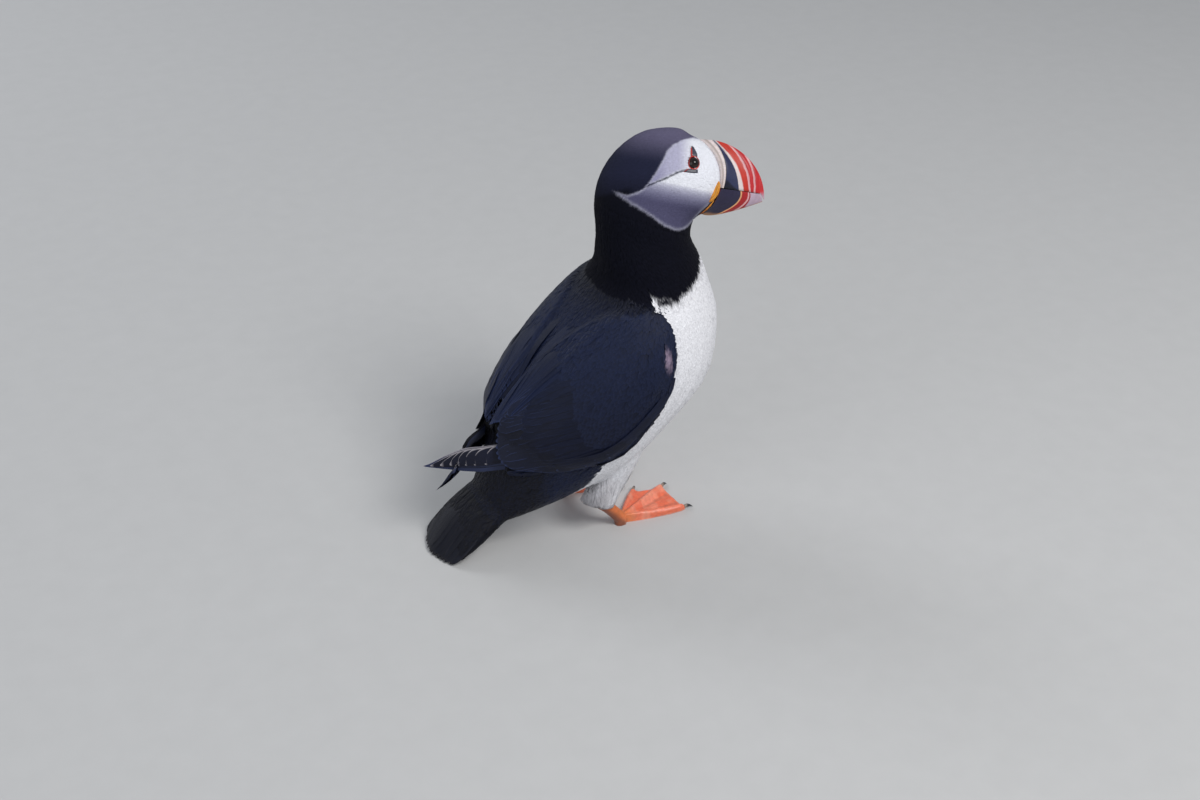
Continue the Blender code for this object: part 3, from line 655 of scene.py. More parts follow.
def horn_material(name, roughness, coat, grain):
    """Horn of the bill: point colours, fine growth streaks and a thin gloss."""
    material, tree, shader = new_material(name)
    place = node(tree, "ShaderNodeTexCoord").outputs["Object"]
    fine = noise_texture(tree, place, grain, 5.0, 0.6)
    broad = noise_texture(tree, place, grain * 0.18, 3.0)
    both = value_of(tree, "MULTIPLY_ADD", broad, 0.5, value_of(tree, "MULTIPLY", fine, 0.5))
    link(tree, painted(tree, 0.86, 1.1, both), shader.inputs["Base Color"])
    wear = ranged(tree, broad, target=(roughness - 0.1, roughness + 0.14))
    link(tree, wear, shader.inputs["Roughness"])
    set_inputs(shader, {"Coat Weight": coat, "Coat Roughness": 0.22,
                        "Specular IOR Level": 0.3, "Subsurface Weight": 0.06,
                        "Subsurface Radius": (0.002, 0.001, 0.0006)})
    bump(tree, shader, both, 0.35, 0.12)
    return material


def scaled_skin_material(name):
    """Bare skin of the feet: small scales, fine wrinkles and a moist gloss."""
    material, tree, shader = new_material(name)
    place = node(tree, "ShaderNodeTexCoord").outputs["Object"]
    cells = node(tree, "ShaderNodeTexVoronoi", feature="DISTANCE_TO_EDGE")
    cells.inputs["Scale"].default_value = 2300.0
    link(tree, place, cells.inputs["Vector"])
    wrinkles = noise_texture(tree, place, 420.0, 5.0, 0.6)
    gap = ranged(tree, cells.outputs["Distance"], (0.0, 0.16))
    both = value_of(tree, "MULTIPLY_ADD", gap, 0.2, value_of(tree, "MULTIPLY", wrinkles, 0.8))
    link(tree, painted(tree, 0.86, 1.08, both), shader.inputs["Base Color"])
    set_inputs(shader, {"Roughness": 0.42, "Coat Weight": 0.15, "Coat Roughness": 0.3,
                        "Subsurface Weight": 0.12,
                        "Subsurface Radius": (0.0025, 0.0009, 0.0004)})
    bump(tree, shader, both, 0.4, 0.16)
    return material


def eye_material():
    material, tree, shader = new_material("wet_eye")
    link(tree, painted(tree), shader.inputs["Base Color"])
    set_inputs(shader, {"Roughness": 0.1, "Coat Weight": 0.15, "Coat Roughness": 0.02,
                        "Specular IOR Level": 0.3})
    return material


SKIN = skin_material("downy_skin")
PLUSH = feather_material("plush_feathers", 0.8, 0.02, 0.1, 5.0, 0.15)
SOFT = feather_material("soft_feathers", 0.72, 0.06, 0.2, 9.0, 0.2)
GLOSSY = feather_material("glossy_feathers", 0.5, 0.0, 0.2, 26.0, 0.5, 0.22)
QUILLS = feather_material("flight_feathers", 0.48, 0.0, 0.25, 110.0, 0.4)
HORN = horn_material("bill_horn", 0.4, 0.07, 900.0)
BAND = horn_material("bill_band", 0.5, 0.08, 1500.0)
LID_SKIN = horn_material("lid_skin", 0.42, 0.2, 1300.0)
CLAW = horn_material("claw_horn", 0.32, 0.3, 1100.0)
FOOT = scaled_skin_material("foot_skin")
WET_EYE = eye_material()


# --- vanes ---
def vane_faces(stations, columns):
    """Faces of one closed vane: a cambered top, a flat underside and both ends."""
    faces = []
    last = columns - 1
    for r in range(stations - 1):
        for c in range(last):
            a = r * columns + c
            faces += [(a, a + 1 + columns, a + 1), (a, a + columns, a + 1 + columns)]
        left, right = r * columns, r * columns + last
        faces += [(left, right + columns, left + columns), (left, right, right + columns)]
    end = (stations - 1) * columns
    for c in range(1, last):
        faces += [(0, c, c + 1), (end, end + c + 1, end + c)]
    return np.array(faces)


def lay_vanes(name, middles, normals, halves, colours, patches, material,
              camber=0.16, shares=(-1, 0, 1), soft=0.5, roll=0.3, under=None):
    """One mesh of closed vanes from middle lines, normals, half widths and point colours.

    Half widths are one per station, or a pair for the two sides of the middle line. Vanes
    laid under a sheet are pressed down to keep clear of it.
    """
    count, stations = middles.shape[:2]
    shares = np.asarray(shares, float)
    columns = len(shares)
    along = unit(np.gradient(middles, axis=1))
    across = unit(np.cross(normals, along))
    if halves.ndim == 2:
        halves = np.stack([halves, halves], axis=2)
    wide = np.where(shares < 0, halves[:, :, :1], halves[:, :, 1:])[..., None]
    level = shares[None, None, :, None]
    points = (middles[:, :, None] + across[:, :, None] * wide * level
              + normals[:, :, None] * wide * camber * (1 - level ** 2))
    if under is not None:
        points = pressed_under(points.reshape(-1, 3), under).reshape(points.shape)
    points[..., 2] = np.maximum(points[..., 2], 0.25)
    lean = unit(normals[:, :, None] + across[:, :, None] * roll * level)
    size = stations * columns
    template = vane_faces(stations, columns)
    faces = (template[None] + (np.arange(count) * size)[:, None, None]).reshape(-1, 3)
    at = np.linspace(0, 1, stations)
    shift = rng.integers(0, 40, count)
    shape = (count, stations, columns)
    vane_map = np.empty(shape + (2,))
    vane_map[..., 0] = shift[:, None, None] + 0.5 + 0.499 * shares
    vane_map[..., 1] = at[None, :, None] + (shift * 0.37)[:, None, None]
    patch = np.empty(shape + (2,))
    patch[..., 0] = patches[:, 0, None, None] + 0.0015 * shares
    patch[..., 1] = patches[:, 1, None, None] + 0.003 * (at[None, :, None] - 0.5)
    piece = make_piece(name, points.reshape(-1, 3), faces, material,
                       np.clip(colours, 0, 1).reshape(-1, 3),
                       {"OFBake": np.clip(patch.reshape(-1, 2), 0.001, 0.999),
                        "vane": vane_map.reshape(-1, 2)})
    own = vertex_normals(piece.data)
    turned = unit(own * (1 - soft) + lean.reshape(-1, 3) * soft)
    piece.data.normals_split_custom_set_from_vertices(turned)
    return piece


def pressed_under(points, sheet, clear=0.7, reach=5.0):
    places, ups = sheet.nearest(points)[:2]
    gap = points - places
    height = (gap * ups).sum(axis=1)
    aside = np.linalg.norm(gap - ups * height[:, None], axis=1)
    press = np.where((height > -clear) & (np.abs(height) < reach), height + clear, 0)
    return points - ups * (press * smoothstep(2.5, 0.5, aside))[:, None]


FEATHER = ((0, 0.45), (0.4, 0.95), (0.78, 0.85), (1, 0.22))
TUFT = ((0, 0.6), (0.5, 0.9), (1, 0.15))


def tract(name, roots, normals, lie, length, width, colour, material, profile=FEATHER,
          depth=1.2, rise=0.2, camber=0.16, tip=1.08, root=0.6, sway=0.1, soft=0.5,
          edge_sheen=None, edge_sheen_share=0.0, lively=0.07, roll=0.3, seen=(0.35, 0.8)):
    """Lays a vane on each root along the lie of the feathers, in pieces of allowed size."""
    at = np.array([t for t, _ in profile])
    wide = np.array([w for _, w in profile])
    count = len(roots)
    length, width, rise, depth = (np.broadcast_to(v, count)
                                  for v in (length, width, rise, depth))
    headings = lie.at(roots, normals)
    side = np.cross(normals, headings)
    headings = unit(headings + side * rng.normal(0, sway, (count, 1)))
    curl = rng.normal(0, 0.05, (count, 1)) * length[:, None]
    size = length * rng.uniform(0.82, 1.15, count)
    middles = np.empty((count, len(at), 3))
    ups = np.empty((count, len(at), 3))
    lift = rise * rng.uniform(0.6, 1.3, count)
    for k, t in enumerate(at):
        place, up = roots, normals
        if k:
            place, up = coat.nearest(roots + headings * (size * t)[:, None]
                                        + side * curl * t * t)[:2]
        height = -depth + (lift + depth) * t ** 0.75
        middles[:, k] = place + up * height[:, None]
        ups[:, k] = up
    ups = unit(ups + ups.mean(axis=1, keepdims=True))
    halves = 0.5 * width[:, None] * wide[None] * rng.uniform(0.85, 1.15, (count, 1))
    # Each vane is painted darker at its root, as shade under the vanes that overlap it, and
    # lighter at its tip, as painted light.
    root_shade_tip_light = (root + (tip - root) * at ** 0.6)[None, :, None, None]
    base = [colour(roots + headings * (size * mix(*seen, t))[:, None]) for t in at]
    base = np.stack(base, axis=1) * rng.normal(1, lively, (count, 1, 1))
    rgb = base[:, :, None, :] * root_shade_tip_light * np.ones((1, 1, 3, 1))
    # Painted sheen along the sides and at the tip of each vane.
    if edge_sheen is not None:
        edge = np.maximum(smoothstep(0.85, 1.0, at)[:, None],
                          np.array([0.7, 0, 0.7])[None] * smoothstep(0.3, 0.9, at)[:, None])
        rgb = rgb + (edge_sheen - rgb) * (edge * edge_sheen_share)[None, :, :, None]
    patches = coat.place_on_unwrap(roots)
    most = 190000 // len(vane_faces(len(at), 3))
    parts = max(1, math.ceil(count / most))
    for part in range(parts):
        own = slice(part * count // parts, (part + 1) * count // parts)
        label = name if parts == 1 else name + "_" + str(part + 1)
        lay_vanes(label, middles[own], ups[own], halves[own], rgb[own], patches[own],
                  material, camber, soft=soft, roll=roll)


RIBBED = (-1, -0.985, -0.9, -0.5, -0.05, 0, 0.05, 0.5, 0.9, 0.985, 1)


def fan(name, paths, halves, heights, sheet, colours, material, camber=0.03,
        edge_sheen=None, edge_sheen_share=0.0, edge_sheen_from=0.6, edge_sheen_sides=(1, 1), shaft=None, soft=0.3,
        under=None):
    """Lays long feathers along given paths, each at its own height over a sheet.

    The sheet is a surface that the paths are smoothed onto, or the normals of the paths.
    """
    stations = paths.shape[1]
    places, ups = paths, sheet
    if isinstance(sheet, Surface):
        places, ups = sheet.nearest(paths.reshape(-1, 3))[:2]
        places = smooth_along(places.reshape(paths.shape), 14)
        ups = unit(smooth_along(ups.reshape(paths.shape), 20))
    middles = places + ups * heights[:, :, None]
    at = np.linspace(0, 1, stations)
    shares = np.array(RIBBED)
    # Painted shade toward the root of each long feather and painted light toward its tip.
    rgb = np.asarray(colours)[:, None, None, :] * (0.9 + 0.2 * at)[None, :, None, None]
    rgb = rgb * np.ones((1, 1, len(shares), 1))
    if shaft is not None:
        on_shaft = (np.abs(shares) < 0.02).astype(float)[None, None, :, None]
        rgb = rgb + (shaft - rgb) * on_shaft
    # Painted sheen along the chosen edges and at the tip of each long feather.
    if edge_sheen is not None:
        sides = (shares == -0.985) * edge_sheen_sides[0] + (shares == 0.985) * edge_sheen_sides[1]
        edge = sides[None, :] * smoothstep(edge_sheen_from - 0.15, edge_sheen_from + 0.1, at)[:, None]
        edge = np.maximum(edge, smoothstep(0.97, 0.995, at)[:, None])
        rgb = rgb + (edge_sheen - rgb) * (edge * edge_sheen_share)[None, :, :, None]
    patches = coat.place_on_unwrap(paths.mean(axis=1))
    return lay_vanes(name, middles, ups, halves, rgb, patches, material, camber,
                     shares, soft, 0.15, under)


def tapered(widths, stations, profile):
    wide = np.interp(np.linspace(0, 1, stations), *np.array(profile).T)
    return 0.5 * np.asarray(widths)[:, None] * wide[None]


def smooth_along(values, times):
    for _ in range(times):
        inner = (values[:, :-2] + 2 * values[:, 1:-1] + values[:, 2:]) / 4
        values = np.concatenate([values[:, :1], inner, values[:, -1:]], axis=1)
    return values


# --- skin, and the surface that the feathers lie on ---
FLESH = ("trunk", "neck", "head", "thigh_right", "thigh_left")
WINGS = ("wing_right", "wing_left")
EYES = ("eye_right", "eye_left")
# Thin ends that the skin leaves out, behind these places along the body
CLIPPED = {"wing_right": -58.0, "wing_left": -58.0, "tail": -88.0}
GROWN = 0.35                    # each node is grown by this, so that the nodes meet
SKIN_VOXEL = 1.35


def coat_depth(points):
    """How deep the skin lies under the tips of the coat."""
    local = to_head(points)
    on_head = smoothstep(-38, -24, local[:, 2])
    near_bill = smoothstep(6, 26, local[:, 0]) * on_head
    tail_end = smoothstep(-70, -86, points[:, 0])
    return mix(mix(mix(1.3, 0.6, on_head), 0.35, near_bill), 0.5, tail_end)


def unwrap_skin(piece):
    """An unwrap of the skin's own shape, in islands."""
    bpy.context.view_layer.objects.active = piece
    piece.select_set(True)
    piece.data.uv_layers.new(name="OFBake")
    bpy.ops.object.mode_set(mode="EDIT")
    bpy.ops.mesh.select_all(action="SELECT")
    bpy.ops.uv.smart_project(angle_limit=math.radians(70), island_margin=0.004)
    bpy.ops.object.mode_set(mode="OBJECT")
    piece.select_set(False)


def make_skin():
    """The skin under the coat; the surface the coat lies on is its outer offset."""
    nodes = FLESH + WINGS + EYES + ("tail",)
    mesh = voxel_join([clipped_mesh(name) for name in nodes], SKIN_VOXEL, 4, GROWN)
    outer = mesh_arrays(mesh)[0]
    normals = vertex_normals(mesh)
    points = outer - normals * (coat_depth(outer) + GROWN)[:, None]
    quads = [tuple(p.vertices) for p in mesh.polygons]
    piece = make_piece("skin", points, quads, SKIN, skin_colours(outer))
    unwrap_skin(piece)
    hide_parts(*FLESH, *WINGS, "tail")
    surface = Surface(outer - normals * GROWN, mesh_arrays(piece.data)[1])
    surface.map_from(piece.data)
    return surface


def skin_colours(points):
    wings = np.minimum(*(node_surface(name).distance(points) for name in WINGS))
    # Skin on and beside the wings is near-black: the dark of the wings' coat, and painted shade
    # along the wings' edges where no white feathers grow.
    dark = (wings < 1.2)[:, None]
    on_head = smoothstep(*HEAD_EDGE, to_head(points)[:, 2])[:, None]
    return np.where(dark, RUMP, plumage(points)) * mix(0.92, 1.0, on_head)


coat = make_skin()


# --- which feathers grow where ---
class Zones:
    """Triangles of the coat's surface, by the CAD node that each lies nearest."""

    def __init__(self):
        corners = coat.points[coat.triangles]
        self.middles = corners.mean(axis=1)
        names = FLESH + WINGS + ("tail",)
        far = np.array([node_surface(name).distance(self.middles) for name in names])
        self.nearest = np.array(names)[far.argmin(axis=0)]
        self.wing_far = far[[names.index(name) for name in WINGS]].min(axis=0)
        self.normals = unit(crosses(corners))

    def of(self, *names):
        return np.isin(self.nearest, names)


def scatter(mask, spacing, seed):
    """Evenly spread roots over the triangles of a mask: one in each small cell of space."""
    source = np.random.default_rng(seed)
    corners = coat.points[coat.triangles[mask]]
    area = np.linalg.norm(crosses(corners), axis=1) / 2
    count = int(area.sum() / spacing ** 2 * 6)
    chosen = source.choice(len(corners), count, p=area / area.sum())
    a, b = source.random((2, count, 1))
    flip = a + b > 1
    a, b = np.where(flip, 1 - a, a), np.where(flip, 1 - b, b)
    tri = corners[chosen]
    places = tri[:, 0] + a * (tri[:, 1] - tri[:, 0]) + b * (tri[:, 2] - tri[:, 0])
    cells = np.floor(places / (spacing * 1.22)).astype(np.int64) + 500
    keys = (cells[:, 0] * 1009 + cells[:, 1]) * 1009 + cells[:, 2]
    first = np.sort(np.unique(keys, return_index=True)[1])
    places = places[first]
    return coat.nearest(places)[:2]


zones = Zones()


# --- places on the head ---
def eye_frame(side):
    """Place of the eye, and its forward, upward and outward directions, from the CAD eye."""
    low, high = (np.array(corner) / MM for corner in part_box("eye_" + side))
    centre = (low + high) / 2
    lid = mesh_arrays(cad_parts["eyelid_" + side].data)[0].mean(axis=0)
    out = unit(lid - centre)
    forward = unit(HEAD_MATRIX[:, 0] - out * (HEAD_MATRIX[:, 0] @ out))
    up = np.cross(forward, out) * -SIDES[side]
    return centre - out * EYE_SUNK, forward, up * np.sign(up @ HEAD_MATRIX[:, 2]), out


EYE_SUNK = 0.6
EYE_FRAMES = {side: eye_frame(side) for side in SIDES}
EYE_RADIUS = 3.9
CORNEA_DOME = 0.25
EYE_OPENING = (2.7, 3.3)      # half sizes of the opening, along and up
LID_WIDTH = 0.6
# Section of the lid, from inside the eye to under the feathers: outward and raised
LID_SECTION = ((-0.42, -1.1), (-0.10, -0.1), (0.02, 0.22), (0.18, 0.36), (0.38, 0.32),
               (0.54, 0.15), (0.66, -0.25), (0.80, -1.1))
BROW_PLATE = ((-1.7, 3.3), (2.1, 3.2), (2.0, 5.2), (1.0, 7.6), (0.0, 9.8), (-1.0, 10.2),
              (-1.5, 8.2), (-1.7, 5.6))
UNDER_EYE_PLATE = ((-6.0, -5.9), (-3.3, -3.5), (0.0, -3.8), (2.3, -3.5), (2.4, -5.7),
                   (-1.5, -6.0))
ROOT_CENTRE = (12.0, 1.5)
ROOT_AXES = (20.8, 23.0)


def in_eye_frame(points, side):
    centre, forward, up, out = EYE_FRAMES[side]
    return (points - centre) @ np.stack([forward, up, out], axis=1)


def outside_outline(points, outline, margin):
    """Whether 2-D points lie further outside an outline than the margin."""
    closed = np.array(outline + outline[:1])
    far = distance_to_line(points, closed)[0]
    inside = np.zeros(len(points), bool)
    x, y = points.T
    for (x0, y0), (x1, y1) in zip(closed[:-1], closed[1:]):
        spans = (y0 > y) != (y1 > y)
        with np.errstate(divide="ignore", invalid="ignore"):
            cross = x0 + (y - y0) / (y1 - y0) * (x1 - x0)
        inside ^= spans & (x < cross)
    return ~inside & (far > margin)


def clear_of_ornaments(points):
    """Places of the head that aren't under the eye, its plates, the bill or the rosette."""
    u, _, v = to_head(points).T
    clear = np.ones(len(points), bool)
    for side in SIDES:
        seen = in_eye_frame(points, side)
        near = seen[:, 2] > -4
        reach = np.hypot(*(seen[:, k] / (EYE_OPENING[k] + LID_WIDTH) for k in (0, 1)))
        clear &= ~near | (reach > 1)
        for outline in (BROW_PLATE, UNDER_EYE_PLATE):
            clear &= ~near | outside_outline(seen[:, :2], outline, 0.05)
    turn = np.hypot((u - ROOT_CENTRE[0]) / ROOT_AXES[0], (v - ROOT_CENTRE[1]) / ROOT_AXES[1])
    clear &= (turn < 1.0) | (u < 18)
    return clear


# --- feathers of the body ---
# Place of each toes' joint, forward and left, and the degrees that the foot turns in
FEET = {"right": ((-13.5 + 25.585, -23.0), 28.5), "left": ((-31.0 + 25.585, 19.0), -6.0)}
ANKLE = (-9.5, 0.5, 14.5)       # end of the thigh, seen from the joint of the toes
PLUMES_TOP = 46                 # level of the highest roots of the hanging plumes


def plume_head():
    roots, normals = scatter(zones.of("head"), 0.46, 11)
    keep = clear_of_ornaments(roots)
    roots, normals = roots[keep], normals[keep]
    front = smoothstep(-22, 24, to_head(roots)[:, 0])
    tract("head_feathers", roots, normals, BODY_LIE, mix(3.6, 2.1, front),
          mix(1.05, 0.85, front), plumage, PLUSH, TUFT,
          depth=mix(0.3, 0.14, front), rise=mix(0.14, 0.08, front), tip=1.02, root=0.96,
          sway=0.1, soft=0.93, lively=0.03, seen=(0.15, 0.85))


def is_pale(points):
    return plumage(points)[:, 1] > 0.2


def white_breast():
    """The white of the breast and belly, from the collar to just short of the wings."""
    low = zones.of("trunk") | (zones.of("neck") & (zones.middles[:, 2] < 168))
    return low & is_pale(zones.middles) & (zones.wing_far > 1.2)


def plume_neck():
    roots, normals = scatter(zones.of("neck") & ~white_breast(), 0.85, 12)
    tract("neck_feathers", roots, normals, BODY_LIE, 6.0, 1.5, plumage, PLUSH,
          TUFT, depth=0.6, rise=0.2, root=0.9, sway=0.1, soft=0.85)


def plume_trunk():
    roots, normals = scatter(white_breast(), 0.95, 13)
    wing_far = np.min([node_surface(name).distance(roots) for name in WINGS], axis=0)
    length = mix(3.2, 9.0, smoothstep(1.0, 11.0, wing_far))
    tract("breast_feathers", roots, normals, BODY_LIE, length, 2.2, plumage, SOFT,
          FEATHER, depth=0.5, rise=0.12, camber=0.05, tip=1.0, root=0.98,
          sway=0.05, soft=0.94, lively=0.01, seen=(0.1, 0.9))
    roots, normals = scatter(zones.of("trunk") & ~is_pale(zones.middles), 1.3, 14)
    short = smoothstep(5, 22, roots[:, 0]) * smoothstep(105, 125, roots[:, 2])
    tract("back_feathers", roots, normals, BODY_LIE, mix(9.0, 4.0, short),
          mix(2.5, 1.8, short), dark_plumage, GLOSSY, FEATHER, depth=0.8,
          rise=0.22, camber=0.08, edge_sheen=MANTLE_SHEEN, edge_sheen_share=0.16, soft=0.8)


def plume_thighs():
    roots, normals = scatter(zones.of("thigh_right", "thigh_left"), 0.95, 15)
    low = smoothstep(30, 14, roots[:, 2])
    tract("thigh_plumes", roots, normals, BODY_LIE, mix(10.0, 9.0, low), mix(2.0, 1.2, low),
          plumage, SOFT, FEATHER, depth=0.5, rise=mix(0.12, 0.3, low),
          camber=0.06, tip=1.0, root=0.96, sway=0.06, soft=0.92, lively=0.02)


def ankle_of(side):
    (x, y), _ = FEET[side]
    return np.array((x + ANKLE[0], y + SIDES[side] * ANKLE[1], ANKLE[2]))


def hang_plumes():
    """Long silky plumes that hang from the ends of the thighs over the shanks.

    They reach for a ring round the ankle, wider and higher behind it. A third of them are
    broad and lie nearer to the shank, as a lining.
    """
    for side in SIDES:
        thighs = zones.of("thigh_" + side) & (zones.middles[:, 2] < PLUMES_TOP)
        roots, normals = scatter(thighs, 0.56, 25)
        ankle = ankle_of(side)
        out = unit((roots - ankle) * (1, 1, 0))
        rear = np.maximum(-out[:, :1], 0)
        lining = rng.random((len(roots), 1)) < 0.35
        target = ankle + out * (4.4 + 9.5 * rear ** 1.5 - 1.0 * lining) + (0, 0, 3.0)
        target = target + rear * (-1.5, 0, 5.5)
        t = np.linspace(0, 1, 5)
        high = smoothstep(30, PLUMES_TOP, roots[:, 2])[:, None, None]
        reach = (target - roots)[:, None] * rng.uniform(0.75, 1.05, (len(roots), 1, 1))
        reach = reach * mix(1.0, 0.45, high)
        bulge = 0.5 * np.sin(math.pi * t ** 0.8)[None, :, None]
        sway = rng.normal(0, 0.25, (len(roots), 1, 3)) * (1, 1, 0) * t[None, :, None] ** 2
        middles = roots[:, None] + reach * t[None, :, None]
        sunk = 0.9 * (1 - t)[None, :, None] ** 2
        middles = middles + out[:, None] * (bulge - sunk) * mix(1.0, 0.4, high) + sway
        ups = unit(normals[:, None] * (1 - t)[None, :, None]
                   + out[:, None] * (0.3 + t)[None, :, None])
        wide = rng.uniform(0.35, 0.65, (len(roots), 1)) * np.where(lining, 2.6, 1.0)
        wide = wide * np.interp(t, *np.array(FEATHER).T)
        shade = tinted(PLUME_SHADE, BREAST_WHITE, smoothstep(-0.8, 0.6, normals[:, 0]))
        shade = mix(shade, BREAST_WHITE, 0.45) * rng.normal(1, 0.015, (len(roots), 1))
        rgb = shade[:, None, None] * np.ones((1, len(t), 3, 1))
        lay_vanes("thigh_hem_" + side, middles, ups, wide, rgb, coat.place_on_unwrap(roots),
                  SOFT, camber=0.06, soft=0.92, roll=0.1)


def plume_tail():
    above = zones.normals[:, 2] > -0.25
    tail = zones.of("tail")
    x, y, _ = zones.middles.T
    below = (zones.normals[:, 2] < -0.8) & (x > -80) & (np.abs(y) < 13)
    roots, normals = scatter(tail & above, 1.5, 16)
    tract("upper_tail_coverts", roots, normals, BODY_LIE, 12.0, 3.0, lambda p: p * 0 + RUMP,
          GLOSSY, FEATHER, depth=0.6, rise=0.25, camber=0.08,
          edge_sheen=MANTLE_SHEEN, edge_sheen_share=0.08, soft=0.8)
    roots, normals = scatter(tail & below, 1.6, 17)
    # The white of the under tail is painted a fifth darker, as painted shade beneath the tail.
    tract("under_tail_coverts", roots, normals, BODY_LIE, 9.0, 2.4,
          lambda p: p * 0 + BREAST_WHITE * 0.8, SOFT, FEATHER, depth=0.6,
          rise=0.3, soft=0.6)


# --- wings ---
# Lower and upper edge of the folded hand, under the coverts to the tip: forward, outward, up
HAND_LOWER = ((-13, 46, 62), (-29.4, 38, 59.4), (-54.4, 20.5, 54.5), (-72.4, 4.8, 50.9),
              (-84, -3, 50.7), (-96, -9.2, 51.8))
HAND_UPPER = ((-20, 40, 80), (-38, 30, 76), (-56, 16, 70), (-67.5, 6, 64.8),
              (-79.5, -2.7, 58.2), (-96.3, -9.8, 52.6))
PRIMARIES = 8
PRIMARY_STEP = 0.068            # each tip falls short of the last by this share of the hand
HAND_START = 0.16               # where the primaries come out from under the coverts
HAND_CLEAR = (0.40, 0.56)       # where the primaries rise clear of the feathers over them
LEFT_DROP = 4.0                 # the left hand lies this far below the right, at the tip
# Where the long feathers of the arm start and end, tertials first
ARM_ROOTS = ((-22, 30, 108), (-25, 34, 98), (-25, 38, 89), (-24, 42, 81), (-20, 46, 75),
             (-12, 49, 73), (0, 52, 78), (12, 54, 88), (22, 54, 99))
ARM_TIPS = ((-51.5, 12.8, 88.3), (-55.6, 10.8, 81.8), (-58, 12.5, 72.3), (-59.5, 17.3, 64.6),
            (-56, 22.2, 60), (-49, 27.5, 59.3), (-37, 35.5, 60), (-19, 46, 65.2),
            (-4, 50.5, 72))
# Coverts end before the long feathers of the arm: forward, up
ARM_COVERED = ((-32, 101), (-34, 93), (-34, 86), (-33, 79), (-29, 73), (-22, 70), (-10, 73),
               (0, 80), (8, 88), (-2, 72), (-17, 65), (-36, 58), (-60, 56), (-62, 88),
               (-50, 92))
# Starts, middles and ends of the long scapulars, innermost and outermost
SCAPULAR_FAN = (((2, 5, 139), (-14, 35, 116)), ((-30, 5, 111), (-34, 26, 101)),
                ((-60, 2, 76), (-56, 14, 86)))
SCAPULAR_EDGE = ((-62, 76), (-47, 91), (-28, 107), (-6, 126), (18, 144), (36, 150))
BEND_AT = (27.0, 50.5, 121.0)   # the pale patch at the bend of the wing
BEND_SIZE = (1.9, 6.0, 6.5)
INNER_WEB = ((0, 1), (0.80, 1.0), (0.86, 0.93), (0.91, 0.80), (0.95, 0.62), (0.98, 0.40),
             (1, 0.12))
OUTER_WEB = ((0, 1), (0.9, 1.0), (0.97, 0.75), (1, 0.2))
QUILL = ((0, 0.5), (0.3, 0.85), (0.7, 1.0), (0.86, 0.9), (0.94, 0.62), (0.985, 0.3), (1, 0.1))


def wing_sheet(side):
    """The outer face of a folded CAD wing, as an open sheet."""
    points, triangles = mesh_arrays(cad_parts["wing_" + side].data)
    outside = unit(crosses(points[triangles])) @ np.array((0.0, 0.92 * SIDES[side], 0.4))
    return Surface(points, triangles[outside > 0.25])


def hand_edges(at):
    last = len(HAND_LOWER) - 1
    lower = np.array([smooth_row(HAND_LOWER, a * last) for a in at])
    upper = np.array([smooth_row(HAND_UPPER, a * last) for a in at])
    return lower, upper


def hand_feather(number, stations):
    """Middle line and the two half widths of one primary; 0 is the outermost and longest.

    The tips end one behind another on the line of the outermost feather's vane, and the
    inner web of each is cut off in a long curve from there up to the wing's upper edge.
    """
    at = np.linspace(HAND_START, 1 - PRIMARY_STEP * number, stations)
    lower, upper = hand_edges(at)
    share = np.full(stations, 0.16 if number == 0 else 0.36)
    share = mix(share, 0.5, smoothstep(0.9, 1.0, at))[:, None]
    across = upper - lower
    span = np.linalg.norm(across, axis=1)
    t = np.linspace(0, 1, stations)
    inner = np.minimum(13.0, (1 - share[:, 0]) * span) * np.interp(t, *np.array(INNER_WEB).T)
    outer = share[:, 0] * span
    if number:
        outer = np.minimum(outer, 1.1)
    outer = outer * np.interp(t, *np.array(OUTER_WEB).T)
    middle = lower + across * share
    ups = unit(np.cross(np.gradient(middle, axis=0), across))
    ups = ups * np.sign(ups[:, 1:2] + 0.5 * ups[:, 2:])
    out = smoothstep(*HAND_CLEAR, at)[:, None]
    middle = middle + ups * (out * (0.8 * span[:, None] * share * (1 - share) + 3.0) - 3.0)
    return middle, ups, np.stack([inner, outer], axis=1)


def arm_path(share, stations, reach=1.0, start=0.0):
    last = len(ARM_ROOTS) - 1
    root, tip = smooth_row(ARM_ROOTS, share * last), smooth_row(ARM_TIPS, share * last)
    middle = mix(root, tip, 0.55) + (0.0, 3.0, 1.5)
    return np.array([bezier(root, middle, tip, t) for t in np.linspace(start, reach, stations)])


